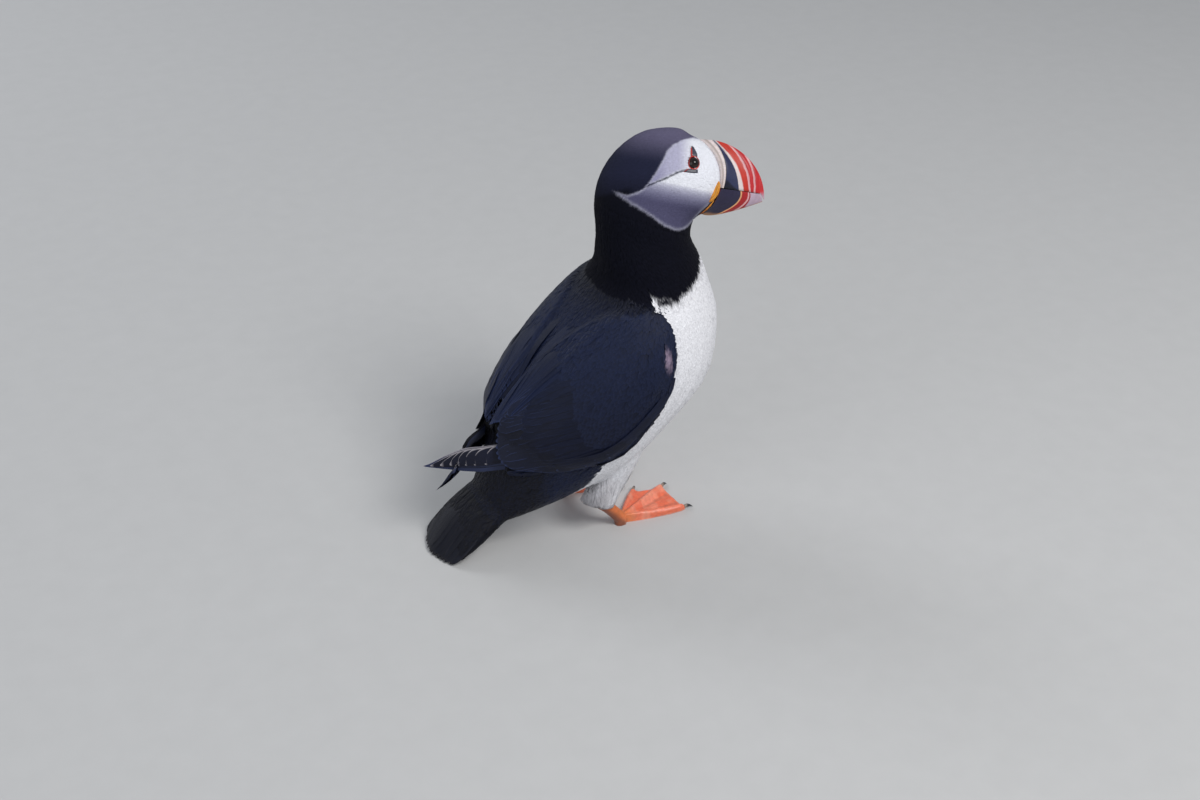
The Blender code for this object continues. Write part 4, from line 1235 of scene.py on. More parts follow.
def make_wing(side):
    sheet = wing_sheet(side)
    right = side == "right"
    under = None if right else wing_sheet("right")
    stations = 30
    made = [hand_feather(n, stations) for n in range(PRIMARIES)]
    paths, ups = (mirrored([parts[k] for parts in made], side) for k in (0, 1))
    halves = np.array([parts[2] for parts in made])
    if not right:
        paths[..., 2] -= LEFT_DROP * smoothstep(-45, -96, paths[..., 0])
    heights = (-0.9 + 0.16 * np.arange(PRIMARIES))[:, None] * np.ones((1, stations))
    colours = np.array([FLIGHT * (1 + 0.05 * n) for n in range(PRIMARIES)])
    colours[0] = EDGE_BLUE
    fan("primaries_" + side, paths, halves[..., ::1 if right else -1], heights, ups, colours,
        QUILLS, edge_sheen=EDGE_HIGHLIGHT, edge_sheen_share=0.9, edge_sheen_from=0.2,
        edge_sheen_sides=(1, 0) if right else (1, 1), shaft=FLIGHT * 0.5, under=under)
    shares = np.linspace(1, 0, 24)
    paths = np.array([mirrored(arm_path(s, stations, reach=1.04), side) for s in shares])
    tucked = smoothstep(0, 0.35, np.linspace(0, 1, stations))[None]
    heights = mix(-1.2, np.linspace(0.2, 1.2, len(shares))[:, None], tucked)
    colours = quill_colours(paths)
    fan("arm_quills_" + side, paths, tapered(mix(6.5, 8.5, 1 - shares), stations, QUILL),
        heights, sheet, colours, QUILLS, edge_sheen=MANTLE_SHEEN * 1.6,
        edge_sheen_share=0.7, shaft=WING_BLACK * 0.5)
    shares = np.linspace(0.99, 0.03, 22)
    paths = np.array([mirrored(arm_path(s, stations, reach=0.62, start=-0.4), side)
                      for s in shares])
    heights = mix(-0.8, np.linspace(0.7, 1.3, len(shares))[:, None],
                  smoothstep(0, 0.6, np.linspace(0, 1, stations))[None])
    colours = quill_colours(paths)
    fan("greater_coverts_" + side, paths,
        tapered(mix(6.0, 7.5, 1 - shares), stations, QUILL), heights, sheet, colours, GLOSSY,
        edge_sheen=MANTLE_SHEEN, edge_sheen_share=0.5, shaft=WING_BLACK * 0.5)


def quill_colours(paths):
    return wing_colours(paths.mean(axis=1)) * rng.uniform(0.85, 1.3, (len(paths), 1))


def wing_colours(points):
    """Colours of the small feathers of the wing, with the pale patch at its bend."""
    side_point = np.stack([points[:, 0], np.abs(points[:, 1]), points[:, 2]], axis=1)
    rgb = np.broadcast_to(WING_BLACK, points.shape).copy()
    blue = smoothstep(75, 130, points[:, 2])
    rgb = tinted(rgb, MANTLE, blue)
    patch = (side_point - BEND_AT) / BEND_SIZE
    pink = np.exp(-(patch ** 2).sum(axis=1) ** 2)
    return tinted(rgb, BEND_PINK, 0.9 * pink)


def plume_wings():
    wings = zones.of(*WINGS)
    x, y, z = zones.middles.T
    edge = np.interp(x, *np.array(SCAPULAR_EDGE).T)
    scapular = z > edge
    behind = x < -47
    under = zones.normals[:, 1] * np.sign(y) < -0.2
    arm = ~outside_outline(np.stack([x, z], axis=1), ARM_COVERED, 0.0)
    roots, normals = scatter(wings & ~scapular & ~behind & ~under & ~arm, 1.55, 21)
    size = smoothstep(32, -40, roots[:, 0])
    tract("wing_coverts", roots, normals, WING_LIE, mix(6.5, 14.0, size), mix(2.5, 4.2, size),
          wing_colours, GLOSSY, FEATHER, depth=0.4, rise=mix(0.15, 0.4, size),
          camber=0.05, edge_sheen=MANTLE_SHEEN, edge_sheen_share=0.25, sway=0.05, soft=0.85,
          roll=0.1, seen=(0.1, 0.9))
    roots, normals = scatter(wings & scapular & ~behind, 1.45, 22)
    size = smoothstep(30, -45, roots[:, 0])
    tract("scapulars", roots, normals, WING_LIE, mix(8.0, 17.0, size), mix(2.4, 4.0, size),
          lambda p: p * 0 + MANTLE, GLOSSY, FEATHER, depth=0.6,
          rise=mix(0.2, 0.6, size), camber=0.06, edge_sheen=MANTLE_SHEEN, edge_sheen_share=0.3,
          sway=0.06, soft=0.8, roll=0.15)
    for side in SIDES:
        long_scapulars(side)


def long_scapulars(side):
    """Long feathers over the seam between the back and the inner edge of the wing."""
    stations = 24
    shares = np.linspace(0, 1, 15)[::-1]
    paths = []
    for share in shares:
        start, middle, end = (np.array([mix(a, b, share) for a, b in zip(*pair)])
                              for pair in SCAPULAR_FAN)
        end = end + (rng.uniform(-2.5, 2.5), 0, 0)
        paths.append([bezier(start, middle, end, t) for t in np.linspace(0, 1, stations)])
    tucked = smoothstep(0, 0.5, np.linspace(0, 1, stations))[None]
    heights = mix(-1.0, np.linspace(1.0, 1.9, len(shares))[:, None], tucked)
    colours = MANTLE * rng.uniform(0.8, 1.3, (len(shares), 1))
    fan("long_scapulars_" + side, mirrored(paths, side),
        tapered(mix(5.5, 8.0, shares), stations, QUILL), heights, coat, colours, GLOSSY,
        edge_sheen=MANTLE_SHEEN * 2.0, edge_sheen_share=0.6, shaft=MANTLE * 0.5)


# --- tail ---
TAIL_FEATHERS = 12


def make_tail():
    points, triangles = mesh_arrays(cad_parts["tail"].data)
    sheet = Surface(points, triangles[unit(crosses(points[triangles]))[:, 2] > 0.2])
    stations = 18
    shares = np.linspace(-1, 1, TAIL_FEATHERS)
    order = np.argsort(-np.abs(shares), kind="stable")        # the outer feathers lie lowest
    paths = []
    for share in shares[order]:
        end = np.array((-98.6 + 4.5 * share ** 2, 18.6 * share, 0.9))
        start = np.array((-60.0, 12.0 * share, 30.0))
        middle = mix(start, end, 0.5) + (0, 4.5 * share, 2)
        paths.append([bezier(start, middle, end, t) for t in np.linspace(0, 1, stations)])
    heights = (0.09 * np.arange(TAIL_FEATHERS))[:, None] * np.ones((1, stations))
    colours = np.array([mix(RUMP, WING_BLACK, 0.5) * rng.uniform(0.8, 1.2) for _ in shares])
    halves = tapered(np.full(TAIL_FEATHERS, 8.0), stations, QUILL)
    fan("tail_feathers", np.array(paths), halves, heights, sheet, colours, QUILLS,
        edge_sheen=EDGE_HIGHLIGHT * 0.1, edge_sheen_share=0.4, shaft=FLIGHT * 0.5)
    fan("tail_feathers_under", np.array(paths) - (0, 0, 0.4), halves, heights * 0 - 0.3,
        sheet, colours, QUILLS, edge_sheen=EDGE_HIGHLIGHT * 0.1, edge_sheen_share=0.4)


# --- bill ---
RIDGE_ANGLES = (-13.5, 69.5)
LOWER_ANGLES = (-14.5, -60.8)
CULMEN_CENTRE = (22.5, -9.8)
CULMEN_AXES = (34.3, 31.6)
CULMEN_ANGLES = (79.2, -3.0)
GAPE_BACK = (34.6, -4.1)
GAPE_FRONT = (55.2, -8.0)
GONYS = ((22.6, -18.6), (27.5, -22.2), (56.2, -12.3))
BILL_ROOT_HALF = 8.8
BILL_TIP_HALF = 1.3
CULMEN_HALF = 1.7
GONYS_HALF = 1.35
BULGE = {"upper": 2.6, "lower": 2.2}
RIDGE_PROUD = 0.5
RIDGE_TUCK = 1.5                # how far the band runs in under the feathers of the face
LOWER_TIP = 0.995
GAP = 0.3

SLATE = np.array((0.024, 0.030, 0.082))
SLATE_LOW = np.array((0.026, 0.023, 0.056))
CREAM = np.array((0.68, 0.59, 0.58))
CREAM_ORANGE = np.array((0.80, 0.42, 0.20))
RED = np.array((0.50, 0.022, 0.028))
RED_ORANGE = np.array((0.50, 0.030, 0.016))
DARK_RED = np.array((0.26, 0.012, 0.014))
GROOVE = np.array((0.72, 0.40, 0.42))
# Pale pinkish horn at the points of the bills, whose paleness is a painted highlight
TIP_HORN_HIGHLIGHT = np.array((0.47, 0.35, 0.44))
TAUPE = np.array((0.40, 0.33, 0.31))
# Bands of the upper bill: where each ends along it, its colour, and how soft its end is
UPPER_BANDS = ((0.395, SLATE, 0.006), (0.525, CREAM, 0.018), (0.662, RED_ORANGE, 0.006),
               (0.710, GROOVE, 0.006), (0.797, RED, 0.006), (0.842, GROOVE, 0.006),
               (1.200, RED, 0.010))
# Relief of the upper bill along it: depth, place and width of grooves; place and width of
# the swells between them
UPPER_GROOVES = ((0.5, 0.685, 0.020), (0.5, 0.819, 0.016), (0.22, 0.395, 0.008),
                 (0.16, 0.915, 0.012))
UPPER_SWELLS = ((0.46, 0.045), (0.59, 0.03), (0.75, 0.04), (0.87, 0.03))
# Bands of the lower bill, which slant forward to its edge: start, slant and colour
LOWER_BANDS = ((0.44, 0.235, CREAM_ORANGE), (0.475, 0.23, DARK_RED * 1.5),
               (0.64, 0.18, GROOVE), (0.675, 0.18, DARK_RED * 1.2), (0.70, 0.20, TIP_HORN_HIGHLIGHT))
HOOK = (56.8, -11.2)            # point of the upper bill: forward, up


def root_point(degrees, forward):
    turn = math.radians(degrees)
    return np.array([ROOT_CENTRE[0] + (ROOT_AXES[0] + forward) * math.cos(turn),
                     ROOT_CENTRE[1] + (ROOT_AXES[1] + forward) * math.sin(turn)])


def culmen(share):
    turn = math.radians(mix(*CULMEN_ANGLES, share))
    return np.array([CULMEN_CENTRE[0] + CULMEN_AXES[0] * math.cos(turn),
                     CULMEN_CENTRE[1] + CULMEN_AXES[1] * math.sin(turn)])


def gape(along, drop=0.0):
    return mix(np.array(GAPE_BACK), np.array(GAPE_FRONT), along) - (0.0, drop)


def upper_arc(along, share):
    """Side view of the upper bill: along from root to tip, share from gape to culmen."""
    low = gape(along)
    high = culmen(along ** 4.4)
    push = smooth_row([(4.3,), (1.2,), (-1.6,), (0.6,), (0.5,)], along * 4)[0]
    return bezier(low, (low[0] + push, mix(low[1], high[1], 0.6)), high, share)


def lower_arc(along, share):
    """Side view of the lower bill: share from gape to the lower edge."""
    low = bezier(*GONYS, smooth_row([(0.0,), (0.03,), (0.12,), (0.52,), (1.0,)], along * 4)[0])
    high = gape(along, GAP)
    push = smooth_row([(-4.0,), (-2.4,), (-0.8,), (-0.2,), (0.2,)], along * 4)[0]
    arc = bezier(high, (high[0] + push, mix(high[1], low[1], 0.55)), low, share)
    return mix(root_point(mix(*LOWER_ANGLES, share), 1.6 * GAP), arc, min(1.0, 3 * along))


def bill_half(along, share, half_of_edge, bulge):
    """Half width of the bill, widest at the gape, thin along its outer edge."""
    widest = mix(BILL_ROOT_HALF, BILL_TIP_HALF, along ** 1.15)
    edge = half_of_edge * mix(1.0, 0.45, along)
    return edge + (widest - edge) * (1 - share ** bulge)


def banded(at, bands):
    """Colour of each place along a bill from its bands."""
    result = np.broadcast_to(bands[0][1], (len(at), 3)).copy()
    for (end, _, soft), (_, colour, _) in zip(bands[:-1], bands[1:]):
        result = tinted(result, colour, smoothstep(end - soft, end + soft, at))
    return result


def dent(value, middle, width):
    return np.exp(-((value - middle) / width) ** 2)


def edge_fade(share):
    """How much of its relief the horn shows: little at the gape and at the outer edge."""
    return np.minimum(1, 4 * share + 0.3) * np.minimum(1, 5 * (1 - share))


def streaked(rgb, local, along, share, seed):
    """Colours broken by fine growth streaks that run across the bill."""
    places = np.stack([along * 90, share * 3, np.sign(local[:, 1])], axis=1)
    return rgb * (1 + 0.10 * noise_at(places, 1.0, seed))[:, None]


def two_sided_grid(arc, half, alongs, shares):
    """Points of both sides of the bill, and the along and share of each."""
    rings, places = [], []
    for along in alongs:
        side = np.array([arc(along, share) for share in shares])
        wide = half(along, shares)
        left = np.stack([side[:, 0], wide, side[:, 1]], axis=1)
        right = left[::-1] * (1, -1, 1)
        rings.append(np.concatenate([left, right]))
        both = np.concatenate([shares, shares[::-1]])
        places.append(np.stack([np.full(len(both), along), both], axis=1))
    return np.array(rings), np.array(places)


def closed_ladder(rows, around):
    """Faces of a tube of rings whose ends join each point to the one across."""
    faces = [tuple(q) for q in grid_faces(rows, around, closed=True)]
    half = around // 2
    last = (rows - 1) * around
    faces += [(k + 1, k, around - k - 1, around - k - 2) for k in range(half - 1)]
    faces += [(last + k, last + k + 1, last + around - k - 2, last + around - k - 1)
              for k in range(half - 1)]
    return faces


def bill_piece(name, node_name, rings, colours, material):
    rows, around = rings.shape[:2]
    points = from_head(rings.reshape(-1, 3))
    piece = make_piece(name, points, closed_ladder(rows, around), material,
                       np.clip(colours, 0, 1))
    outward(piece.data)
    piece.data.set_sharp_from_angle(angle=math.radians(48))
    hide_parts(node_name)
    return piece


def make_upper_bill():
    shares = np.linspace(0, 1, 45)

    def half(along, share):
        base = bill_half(along, share, CULMEN_HALF, BULGE["upper"])
        wave = along + 0.004 * np.sin(9 * share)
        groove = sum(deep * dent(wave, middle, width) for deep, middle, width in UPPER_GROOVES)
        swell = sum(0.22 * dent(wave, middle, width) for middle, width in UPPER_SWELLS)
        return base + (swell - groove) * edge_fade(share)

    rings, places = two_sided_grid(upper_arc, half, np.linspace(0, 1, 170), shares)
    along, share = places.reshape(-1, 2).T
    local = rings.reshape(-1, 3)
    wave = along + 0.006 * noise_at(local, 2.5, 5) + 0.003 * noise_at(local, 0.8, 6)
    early = 0.09 * smoothstep(0.35, 0.95, share) * smoothstep(0.60, 0.40, along)
    rgb = banded(wave + early, UPPER_BANDS)
    # Painted highlight along the top of the red part of the culmen.
    culmen_highlight = smoothstep(0.9, 1.0, share) * smoothstep(0.48, 0.55, along)
    rgb = tinted(rgb, RED_ORANGE * 1.05, 0.7 * culmen_highlight)
    slate_top = smoothstep(0.6, 1.0, share) * (1 - smoothstep(0.35, 0.42, along))
    rgb = tinted(rgb, SLATE * 1.7, 0.6 * slate_top)
    reach = np.hypot(local[:, 0] - HOOK[0], local[:, 2] - HOOK[1])
    # Painted highlight: the pale point of the upper bill.
    tip = np.maximum(smoothstep(0.955, 0.985, along) * smoothstep(0.5, 0.1, share),
                     smoothstep(5.0, 1.5, reach))
    rgb = tinted(rgb, TIP_HORN_HIGHLIGHT, 0.85 * tip)
    # Painted shadow: a dark triangle at the corner of the mouth.
    corner = smoothstep(0.16, 0.12, share + 0.45 * np.abs(along - 0.05))
    rgb = tinted(rgb, SLATE * 0.2, 0.9 * corner)
    rgb = streaked(rgb, local, along, share, 8)
    # Painted shade: the upper bill darker along its edge at the gape, where the bills meet.
    edge = smoothstep(0.05, 0.0, share)
    rgb = tinted(rgb, rgb * 0.55, edge)
    bill_piece("bill_upper_horn", "bill_upper", rings, rgb, HORN)


def make_lower_bill():
    shares = np.linspace(0, 1, 35)

    def half(along, share):
        base = bill_half(along, share, GONYS_HALF, BULGE["lower"])
        groove = 0.42 * dent(along, 0.66 + 0.17 * share, 0.020)
        groove = groove + 0.2 * dent(along, 0.45 + 0.22 * share, 0.010)
        swell = 0.18 * dent(along, 0.54 + 0.2 * share, 0.04)
        return base + (swell - groove) * edge_fade(share)

    alongs = np.linspace(0, LOWER_TIP, 130)
    rings, places = two_sided_grid(lower_arc, half, alongs, shares)
    along, share = places.reshape(-1, 2).T
    local = rings.reshape(-1, 3)
    wave = along + 0.006 * noise_at(local, 2.5, 9) + 0.003 * noise_at(local, 0.8, 10)
    rgb = np.broadcast_to(SLATE_LOW, local.shape).copy()
    for start, slope, colour in LOWER_BANDS:
        level = start + slope * share
        rgb = tinted(rgb, colour, smoothstep(level - 0.006, level + 0.006, wave))
    # Painted highlight: the paler point of the lower bill.
    tip = smoothstep(0.86, 0.95, along + 0.06 * (1 - share))
    rgb = tinted(rgb, TIP_HORN_HIGHLIGHT * 0.9, 0.55 * tip)
    low_edge = smoothstep(0.86, 0.97, share) * smoothstep(0.1, 0.3, along)
    rgb = tinted(rgb, CREAM_ORANGE * 0.6, 0.75 * low_edge)
    base = smoothstep(0.06, 0.02, along)
    rgb = tinted(rgb, DARK_RED * 0.6, 0.8 * base)
    rgb = streaked(rgb, local, along, share, 11)
    bill_piece("bill_lower_horn", "bill_lower", rings, rgb, HORN)


def make_ridge():
    """The pitted band round the root of the upper bill."""
    across = np.linspace(0, 1, 15)
    rings = []
    for share in np.linspace(0, 1, 150):
        front = upper_arc(0.0, share) - (GAP * 0.6, 0.0)
        back = root_point(mix(*RIDGE_ANGLES, share), GAP - RIDGE_TUCK)
        half = bill_half(0.0, share, CULMEN_HALF, BULGE["upper"]) + RIDGE_PROUD
        side = np.array([mix(back, front, t) for t in across])
        crown = 0.55 * RIDGE_PROUD * (1 - np.abs(2 * across - 1) ** 2.5)
        seam = 0.22 * dent(across, 0.66, 0.04) + 1.3 * smoothstep(0.4, 0.0, across)
        left = np.stack([side[:, 0], half + crown - seam, side[:, 1]], axis=1)
        rings.append(np.concatenate([left, left[::-1] * (1, -1, 1)]))
    rings = np.array(rings)
    flat = rings.reshape(-1, 3)
    pits = np.clip(noise_at(flat, 0.42, 12) - 0.15, 0, 1) * 0.22
    flat[:, 1] -= np.sign(flat[:, 1]) * pits
    both = np.tile(np.concatenate([across, across[::-1]]), len(rings))
    outer = smoothstep(0.55, 0.75, both)
    rgb = tinted(CREAM * 0.95, CREAM * 1.08, outer)
    # Darker in the pits: painted shade in the hollows of the band.
    rgb = rgb * (1 - 1.6 * pits)[:, None] * (1 + 0.07 * noise_at(flat, 1.1, 13))[:, None]
    rgb = tinted(rgb, TAUPE, 0.9 * dent(both, 0.58, 0.10))
    line = 0.5 * dent(both, 0.66, 0.04) + smoothstep(0.95, 1, both)
    rgb = tinted(rgb, TAUPE * 0.3, np.clip(0.75 * line, 0, 1))
    bill_piece("bill_ridge_band", "bill_ridge", flat.reshape(rings.shape), rgb, BAND)


# --- eyes and ornaments ---
EYE_BLACK = np.array((0.006, 0.005, 0.006))
IRIS = np.array((0.020, 0.011, 0.009))
LID_RED = np.array((0.62, 0.035, 0.02))
LID_DARK = np.array((0.10, 0.02, 0.025))
PLATE_GREY = np.array((0.040, 0.043, 0.066))
ROSETTE_ORANGE = np.array((0.68, 0.28, 0.028))
ROSETTE_RED = np.array((0.52, 0.10, 0.02))
ROSETTE_SHIFT = (1.9, 0.0, -0.6)        # from the middle of the CAD rosette
ROSETTE_TILT = -30.0
ROSETTE_HALF = (2.35, 6.3)


def from_eye(points, side):
    centre, forward, up, out = EYE_FRAMES[side]
    return centre + np.asarray(points, float) @ np.stack([forward, up, out])


def make_eye(side):
    """The ball of the eye with the slight dome of its cornea, and what is round it."""
    around = 48
    turns = full_turn(around)
    rings = []
    for angle in np.linspace(0.02, 1.0, 34) * math.pi * 0.98:
        wide = EYE_RADIUS * math.sin(angle)
        dome = CORNEA_DOME * math.exp(-(angle / 0.7) ** 2)
        rings.append(np.stack([wide * np.cos(turns), wide * np.sin(turns),
                               np.full(around, EYE_RADIUS * math.cos(angle) + dome)], axis=1))
    points = np.array(rings).reshape(-1, 3)
    off = np.hypot(points[:, 0], points[:, 1])
    front = points[:, 2] > 0
    rgb = tinted(EYE_BLACK, IRIS, smoothstep(1.55, 1.75, off) * front)
    rgb = tinted(rgb, EYE_BLACK, smoothstep(2.35, 2.75, off))
    eye = make_piece("eyeball_" + side, from_eye(points, side), capped_tube(len(rings), around),
                     WET_EYE, rgb)
    outward(eye.data)
    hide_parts("eye_" + side)
    make_lid(side)
    make_plate("brow_horn_" + side, "brow_plate_" + side, BROW_PLATE, side)
    make_plate("under_eye_horn_" + side, "under_eye_plate_" + side, UNDER_EYE_PLATE, side)


def make_lid(side):
    """The bare red ring: it rolls over the ball inside and sinks under the feathers."""
    around = 96
    turns = full_turn(around)
    egg = 1 + 0.16 * np.exp(-((turns - math.radians(218)) / 0.5) ** 2)
    points, rgb = [], []
    for turn, round_off in zip(turns, egg):
        radius = np.array((EYE_OPENING[0] * math.cos(turn), EYE_OPENING[1] * math.sin(turn)))
        radius = radius * round_off
        away = unit(radius)
        rim = from_eye([(*(radius + away * LID_WIDTH), 2.0)], side)
        rim = in_eye_frame(coat.nearest(rim)[0], side)[0, 2]
        bright = 0.55 - 0.45 * math.cos(2 * turn)
        bright = max(0.25, min(1.0, bright + 0.25 * (math.sin(turn) < 0)))
        for k, (out, rise) in enumerate(LID_SECTION):
            flat = radius + away * out
            ball = math.sqrt(max(EYE_RADIUS ** 2 - radius @ radius, 0.1))
            points.append((*flat, mix(ball, rim, smoothstep(0.0, 0.4, out)) + rise))
            tint = mix(LID_DARK, LID_RED, bright) if k <= 5 else PLATE_GREY * 1.3
            rgb.append(tint if k else LID_DARK)
    points = np.array(points)
    points[:, 2] += 0.05 * noise_at(points, 0.5, 14)
    count = len(LID_SECTION)
    faces = [tuple(q) for q in grid_faces(around, count)]
    faces += [(a, a + 1, a + 1 - (around - 1) * count, a - (around - 1) * count)
              for a in range((around - 1) * count, around * count - 1)]
    faces += [(r * count, (r + 1) % around * count, (r + 1) % around * count + count - 1,
               r * count + count - 1) for r in range(around)]
    lid = make_piece("eyelid_ring_" + side, from_eye(points, side), faces, LID_SKIN,
                     np.array(rgb))
    outward(lid.data)
    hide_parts("eyelid_" + side)


def on_head(place, sheet, height):
    near, up = sheet.nearest(place)[:2]
    return near + up * np.asarray(height)[:, None]


def make_plate(name, node_name, outline, side):
    """A soft-edged horny plate on the face, following the head's surface."""
    outline = np.array(outline)
    centre = outline.mean(axis=0)
    around, rings = 60, 9
    closed = np.concatenate([outline, outline[:1]])
    at = np.linspace(0, len(outline), around, endpoint=False)
    rim = np.stack([np.interp(at, np.arange(len(closed)), closed[:, k]) for k in (0, 1)], axis=1)
    for _ in range(3):
        rim = (np.roll(rim, 1, axis=0) + 2 * rim + np.roll(rim, -1, axis=0)) / 4
    flat, lift = [], []
    for share in np.linspace(1, 0.06, rings):
        flat.append(mix(centre, rim, share))
        lift.append(np.full(around, 0.62 * (1 - share ** 5) ** 0.5))
    flat, lift = np.concatenate(flat), np.concatenate(lift)
    places = from_eye(np.column_stack([flat, np.full(len(flat), 2.0)]), side)
    lift = lift + 0.07 * noise_at(places, 0.7, 15) - 0.1
    top = on_head(places, coat, lift)
    low = on_head(places[:around], coat, np.full(around, -0.9))
    points = np.concatenate([low, top])
    rgb = PLATE_GREY * (1 + 0.2 * noise_at(points, 0.9, 16))[:, None]
    across = np.concatenate([flat[:around], flat])
    if name.startswith("brow"):
        rear = smoothstep(-0.95, -1.25, across[:, 0]) * smoothstep(9.8, 8.8, across[:, 1])
    else:
        slope = across[:, 1] + 5.7 - 0.85 * (across[:, 0] + 5.8)
        rear = smoothstep(-0.55, -0.25, slope) * smoothstep(-2.2, -3.2, across[:, 0])
    rgb = tinted(rgb, LID_RED, 0.9 * rear)
    plate = make_piece(name, points, capped_tube(rings + 1, around), LID_SKIN, rgb)
    outward(plate.data)
    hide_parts(node_name)


def make_rosette(side):
    """The wrinkled pad of bare skin at the corner of the mouth."""
    points, _ = mesh_arrays(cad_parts["gape_rosette_" + side].data)
    local = to_head(points)
    middle = (local.min(axis=0) + local.max(axis=0)) / 2 + ROSETTE_SHIFT
    tilt = math.radians(ROSETTE_TILT)
    around, rings = 120, 22
    turns = full_turn(around)
    flat, lift, fold = [], [], []
    for share in np.linspace(1, 0.03, rings):
        across = ROSETTE_HALF[0] * share * np.cos(turns)
        tall = ROSETTE_HALF[1] * share * np.sin(turns) * (1 - 0.15 * np.cos(turns))
        flat.append(np.stack([across * math.cos(tilt) - tall * math.sin(tilt),
                              across * math.sin(tilt) + tall * math.cos(tilt)], axis=1))
        pleat = 0.30 * np.sin(across * 5.0 + 0.9 * np.sin(tall * 1.1))
        lift.append(1.75 * (1 - share ** 3) ** 0.6 + pleat * (1 - share ** 4))
        fold.append(pleat)
    flat, lift, fold = map(np.concatenate, (flat, lift, fold))
    places = from_head(np.column_stack([middle[0] + flat[:, 0],
                                        np.full(len(flat), middle[1]),
                                        middle[2] + flat[:, 1]]))
    near, up = coat.nearest(places)[:2]
    general = unit(up.mean(axis=0))
    base = places + general * ((near - places) @ general)[:, None]
    top = base + general * (lift - 0.2 + 0.10 * noise_at(places, 0.5, 17))[:, None]
    points = np.concatenate([base[:around] - general * 1.2, top])
    shade = np.concatenate([np.full(around, 0.7), 0.9 + 0.9 * fold])
    rgb = ROSETTE_ORANGE * shade[:, None]
    rim = np.concatenate([np.ones(around), smoothstep(0.9, 0.0, lift)])
    rgb = tinted(rgb, ROSETTE_RED, 0.5 * rim)
    rosette = make_piece("rosette_" + side, points, capped_tube(rings + 1, around), LID_SKIN,
                         rgb)
    outward(rosette.data)
    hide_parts("gape_rosette_" + side)


def make_gape_fold(side):
    """A thin fold of skin from the rosette down along the root of the lower bill."""
    around = 12
    turns = full_turn(around)
    shares = np.linspace(0, 1, 40)
    flat = np.array([root_point(mix(-33.0, -63.0, t), -0.5) for t in shares])
    half = BILL_ROOT_HALF * (1 - 0.35 * shares ** 2)
    middles = from_head(np.column_stack([flat[:, 0], SIDES[side] * half, flat[:, 1]]))
    middles, ups = coat.nearest(middles)[:2]
    middles = smooth_along((middles + ups * 0.1)[None], 6)[0]
    along = unit(np.gradient(middles, axis=0))
    across = unit(np.cross(along, ups))
    size = 0.62 * np.sin(math.pi * np.clip(shares, 0.03, 0.97)) ** 0.4
    size = size * (1 + 0.12 * np.sin(26 * shares))
    rounds = (np.cos(turns)[None, :, None] * across[:, None]
              + np.sin(turns)[None, :, None] * ups[:, None])
    points = (middles[:, None] + size[:, None, None] * rounds).reshape(-1, 3)
    rgb = tinted(ROSETTE_ORANGE, ROSETTE_RED * 0.6, np.repeat(shares, around))
    fold = make_piece("gape_fold_" + side, points, capped_tube(len(shares), around), LID_SKIN,
                      rgb)
    outward(fold.data)


# --- feet ---
# Inner, middle and outer toe: degrees from the middle one, length and radius
TOES = ((-21.0, 33.0, 2.1), (0.0, 44.5, 2.4), (34.0, 41.5, 2.5))
TOE_KNOBS = ((14.0, 2.6), (24.5, 2.4), (33.5, 2.0))     # place and width of the joints
HEEL_RADIUS = 3.3
KNUCKLE_HEIGHT = 6.0
SHANK_HALF = 3.9
WEB_THICK = 1.1
WEB_NOTCH = 0.95
WEB_FOLDS = 26                  # folds of the web in one radian, times 2 pi
CLAW_LENGTH = 4.8
CLAW_RADIUS = 1.25
WEB_ORANGE = np.array((0.84, 0.175, 0.085))
WEB_PINK = np.array((0.86, 0.33, 0.22))
TOE_ORANGE = np.array((0.78, 0.21, 0.055))
# Painted shade on the back of the heel
HEEL_SHADE = np.array((0.20, 0.060, 0.030))
CLAW_GREY = np.array((0.035, 0.033, 0.036))
CLAW_BASE = np.array((0.30, 0.24, 0.20))


def foot_reach(degrees):
    """How far the foot reaches from the toes' joint, at an angle from the middle toe."""
    reach = HEEL_RADIUS
    for angle, length, radius in TOES:
        width = math.degrees(radius * 1.25 / length)
        away = abs(degrees - angle)
        reach = max(reach, length * math.sqrt(max(0.0, 1 - (away / (width * 1.4)) ** 2)))
    if TOES[0][0] < degrees < TOES[-1][0]:
        inner, outer = TOES[:2] if degrees < 0 else TOES[1:]
        share = (degrees - inner[0]) / (outer[0] - inner[0])
        chord = 1 / mix(1 / inner[1], 1 / outer[1], share)
        reach = max(reach, chord * (1 - (1 - WEB_NOTCH) * math.sin(math.pi * share) ** 0.7))
    return reach


def toe_joints(distance, radius):
    """Swelling of a toe at its joints, and the narrow scutes along it."""
    knob = 0.35 * sum(dent(distance, at, width) for at, width in TOE_KNOBS)
    scute = 0.07 * np.sign(np.sin(distance * 4.2)) * np.abs(np.sin(distance * 4.2)) ** 0.4
    return radius * (1 + 0.12 * knob) + scute


